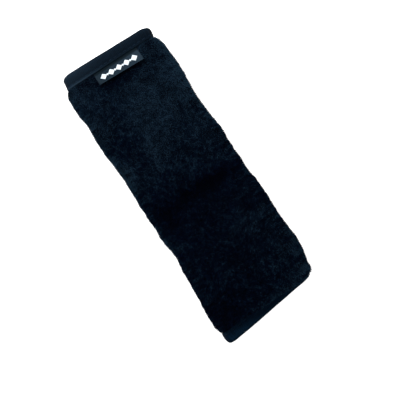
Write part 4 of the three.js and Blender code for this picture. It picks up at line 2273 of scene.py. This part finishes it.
@dataclass
class ClosureTape:
    """One of the two tapes that close the back, a woven base with a rough face.

    first is its edge around the wrap, and base the height of its lower face. Nubs stand out on
    both faces, within slack of them. Its rim is thinner by rim_inset on either face.
    """

    blank: Blank
    name: str
    node: str
    slot: Slot
    first: float
    base: float
    rim_inset: float = 0.3
    rim_reach: float = 0.6
    slack: float = 0.05
    nubs: tuple[Layer, ...] = (Layer(0.05, 1.2),)
    grid: tuple[int, int] = (36, 150)
    noise: LatticeNoise = field(default_factory=lambda: LatticeNoise(47))

    def make(self, material: bpy.types.Material) -> bpy.types.Object:
        """Args:
            material: The tape's material.

        Returns:
            The tape.
        """
        blank = self.blank
        start = blank.head_binding + blank.end_rise
        end = blank.length - blank.foot_binding - blank.end_rise
        across = np.linspace(0.0, blank.closure_width, self.grid[0])
        down = np.linspace(start, end, self.grid[1])
        u, d = np.meshgrid(across, down, indexing="ij")
        rim = np.minimum(np.minimum(u, blank.closure_width - u), np.minimum(d - start, end - d))
        inset = self.rim_inset * (1 - rounded(rim, self.rim_reach, 0.0)) + self.slack
        nubs = self.noise.layered(u, d, self.nubs)
        top = blank.place(self.first + u, d, self.base + blank.closure_tape - inset + nubs)
        bottom = blank.place(self.first + u, d, self.base + inset + nubs)
        shell = slab(top, bottom, np.stack([u, d], -1))
        tape = shell.make(self.name, material)
        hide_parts(self.node)
        return tape


# The studio


@dataclass(frozen=True)
class AreaLamp:
    """A soft square lamp that looks at a point of the pad."""

    name: str
    place: tuple[float, float, float]
    aim: tuple[float, float, float]
    side: float
    watts: float

    def make(self) -> bpy.types.Object:
        """Adds the lamp, turned so that it looks at its aim.

        Returns:
            The lamp.
        """
        data = bpy.data.lights.new(self.name, "AREA")
        data.shape, data.size, data.energy = "SQUARE", self.side, self.watts
        lamp = bpy.data.objects.new(self.name, data)
        lamp.location = self.place
        way = Vector(self.aim) - Vector(self.place)
        lamp.rotation_euler = way.to_track_quat("-Z", "Y").to_euler()
        bpy.context.scene.collection.objects.link(lamp)
        return lamp


@dataclass(frozen=True)
class Studio:
    """A plain pale floor, soft lamps and a camera that looks straight down at the pad.

    The picture is 400 pixels square, and a pixel is 0.5333 mm at the height of the pad's sides. The
    pad's long axis stands at 57.07° to the picture's rows, and the picture's middle lies 10.3 mm to
    the foot end of the pad's.
    """

    picture_pixels: int = 400
    pixel_mm: float = 0.5333
    axis_degrees: float = 57.07
    aim_mm: tuple[float, float] = (-0.2, -10.3)
    side_height_mm: float = 9.8
    camera_distance: float = 1.0
    sensor_mm: float = 36.0
    floor_side: float = 6.0
    world_strength: float = 0.35
    lamps: tuple[AreaLamp, ...] = (
        AreaLamp("key", (-0.08, 0.36, 0.36), (0.0, 0.02, 0.0), 0.25, 3.0),
        AreaLamp("fill", (0.5, -0.2, 0.9), (0.0, 0.0, 0.0), 0.6, 3.0),
    )

    def make(self) -> None:
        """Builds the floor, the lamps, the world and the camera."""
        self._floor()
        for lamp in self.lamps:
            lamp.make()
        world = bpy.data.worlds.new("studio")
        world.use_nodes = True
        backdrop = world.node_tree.nodes["Background"]
        backdrop.inputs["Color"].default_value = linear("#ffffff")
        backdrop.inputs["Strength"].default_value = self.world_strength
        scene = bpy.context.scene
        scene.world = world
        scene.view_settings.view_transform = "Standard"
        scene.camera = self._camera()

    def _floor(self) -> None:
        """A square floor that the pad lies on."""
        half = self.floor_side / 2
        corners = [(-half, -half, 0), (half, -half, 0), (half, half, 0), (-half, half, 0)]
        mesh = bpy.data.meshes.new("studio_floor")
        mesh.from_pydata(corners, [], [(0, 1, 2, 3)])
        mesh.materials.append(FloorFinish().make())
        floor = bpy.data.objects.new("studio_floor", mesh)
        bpy.context.scene.collection.objects.link(floor)

    def _camera(self) -> bpy.types.Object:
        """Adds the camera, with the picture's upward way turned to the pad's long axis.

        Returns:
            The camera.
        """
        data = bpy.data.cameras.new("studio_camera")
        data.sensor_width = self.sensor_mm
        field_of_view = self.picture_pixels * self.pixel_mm * MM
        data.lens = self.sensor_mm * self.camera_distance / field_of_view
        camera = bpy.data.objects.new("studio_camera", data)
        turn = math.radians(self.axis_degrees)
        up = Vector((math.cos(turn), math.sin(turn), 0.0))
        back = Vector((0.0, 0.0, 1.0))
        right = up.cross(back)
        turned = Matrix((right, up, back)).transposed().to_4x4()
        aim = Vector((*self.aim_mm, self.side_height_mm)) * MM
        camera.matrix_world = Matrix.Translation(aim + back * self.camera_distance) @ turned
        bpy.context.scene.collection.objects.link(camera)
        return camera


@dataclass
class ShoulderPad:
    """The whole pad, built piece by piece from one blank.

    butt is the room between the side bindings and the end bindings. The channels' stitches start
    channel_start past the padding's rise, and lie channel_over over the cloth.
    """

    blank: Blank = field(default_factory=Blank)
    butt: float = 0.3
    channel_start: float = 2.0
    channel_over: float = 0.15

    @cached_property
    def face(self) -> PlushFace:
        """The plush's outside, once it has settled."""
        return PlushFace(self.blank, Settling(self.blank).settled())

    def bindings(self) -> list[Binding]:
        """Lays the tapes of the bound edges out.

        Returns:
            Those of the head end, the foot end, the under flap and the outer flap.
        """
        blank = self.blank
        head, foot = blank.head_binding + self.butt, blank.length - blank.foot_binding - self.butt
        ends = (("head", blank.head_binding, 0.0, 1), ("foot", blank.foot_binding, blank.length, -1))
        flaps = (("under_flap", 0.0, 1), ("outer_flap", blank.width, -1))
        side, across = blank.edge_binding, (0.0, blank.width)
        return [
            Binding(blank, end + "_binding_tape", end + "_binding", width, True, *edge, *across)
            for end, width, *edge in ends
        ] + [
            Binding(blank, flap + "_tape", flap + "_binding", side, False, *edge, head, foot)
            for flap, *edge in flaps
        ]

    def channel_seams(self) -> list[tuple[Array, Array]]:
        """The two lines that sew the hook tape on.

        Returns:
            Points and normals along each, STITCH_STEPS to a stitch.
        """
        blank = self.blank
        start = blank.head_binding + blank.end_rise + self.channel_start
        end = blank.length - blank.foot_binding - blank.end_rise - self.channel_start
        count = int((end - start) / STITCH_PITCH)
        down = start + np.arange(count * STITCH_STEPS + 1) * STITCH_PITCH / STITCH_STEPS
        found = []
        for line in self.face.channels:
            point, _, _, normal = self.face.frame(np.full(len(down), line), down)
            found.append((point + normal * self.channel_over, normal))
        return found

    def closure_tapes(self) -> list[bpy.types.Object]:
        """Builds the closure.

        Returns:
            The loop tape on the under flap and the hook tape in the outer flap.
        """
        blank = self.blank
        over_flap = blank.sewn_flap + blank.gap
        in_flap = -blank.gap - blank.closure_tape
        rows = (
            ("loop", Slot.LOOP, blank.loop_start, over_flap, LOOP_PILE),
            ("hook", Slot.HOOK, blank.hook_start, in_flap, HOOK_FACE),
        )
        made = []
        for kind, slot, first, base, finish in rows:
            tape = ClosureTape(blank, kind + "_tape_strip", kind + "_strip", slot, first, base)
            made.append(tape.make(finish.make()))
        return made

    def make(self) -> None:
        """Builds every piece and reports it."""
        plush, thread = PlushFinish().make(), SEWING_THREAD.make()
        tape, shaded_foot_tape = BOUND_TAPE.make(), BOUND_TAPE_SHADED_AT_FOOT.make()
        made = [PaddedWrap(self.face).make(plush), *Pile(self.face).make(plush)]
        bindings = self.bindings()
        for binding in bindings:
            # The foot binding takes the darker copy of the tape: painted shade.
            made.append(binding.make(shaded_foot_tape if binding.node == "foot_binding" else tape))
        seams = [seam for binding in bindings for seam in binding.seams()]
        made.append(Stitching("binding_stitches").make(seams, thread, Slot.BINDING))
        made.append(Stitching("closure_stitches").make(self.channel_seams(), thread, Slot.PLUSH))
        made += Label(self.face).make(LABEL_SATIN.make(), LABEL_THREAD.make())
        made.append(Lining(self.blank).make(LINING_KNIT.make()))
        made += self.closure_tapes()
        for piece in made:
            log.info("%s: %d faces", piece.name, len(piece.data.polygons))


def corners(bounds: object) -> list[list[float]]:
    """A box's lowest and highest corners as plain lists."""
    return [[float(value) for value in corner] for corner in bounds]


def main() -> None:
    """Loads the frame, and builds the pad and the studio."""
    logging.basicConfig(level=logging.INFO, format="%(name)s %(message)s")
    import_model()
    Studio().make()
    ShoulderPad().make()


if __name__ == "__main__":
    main()
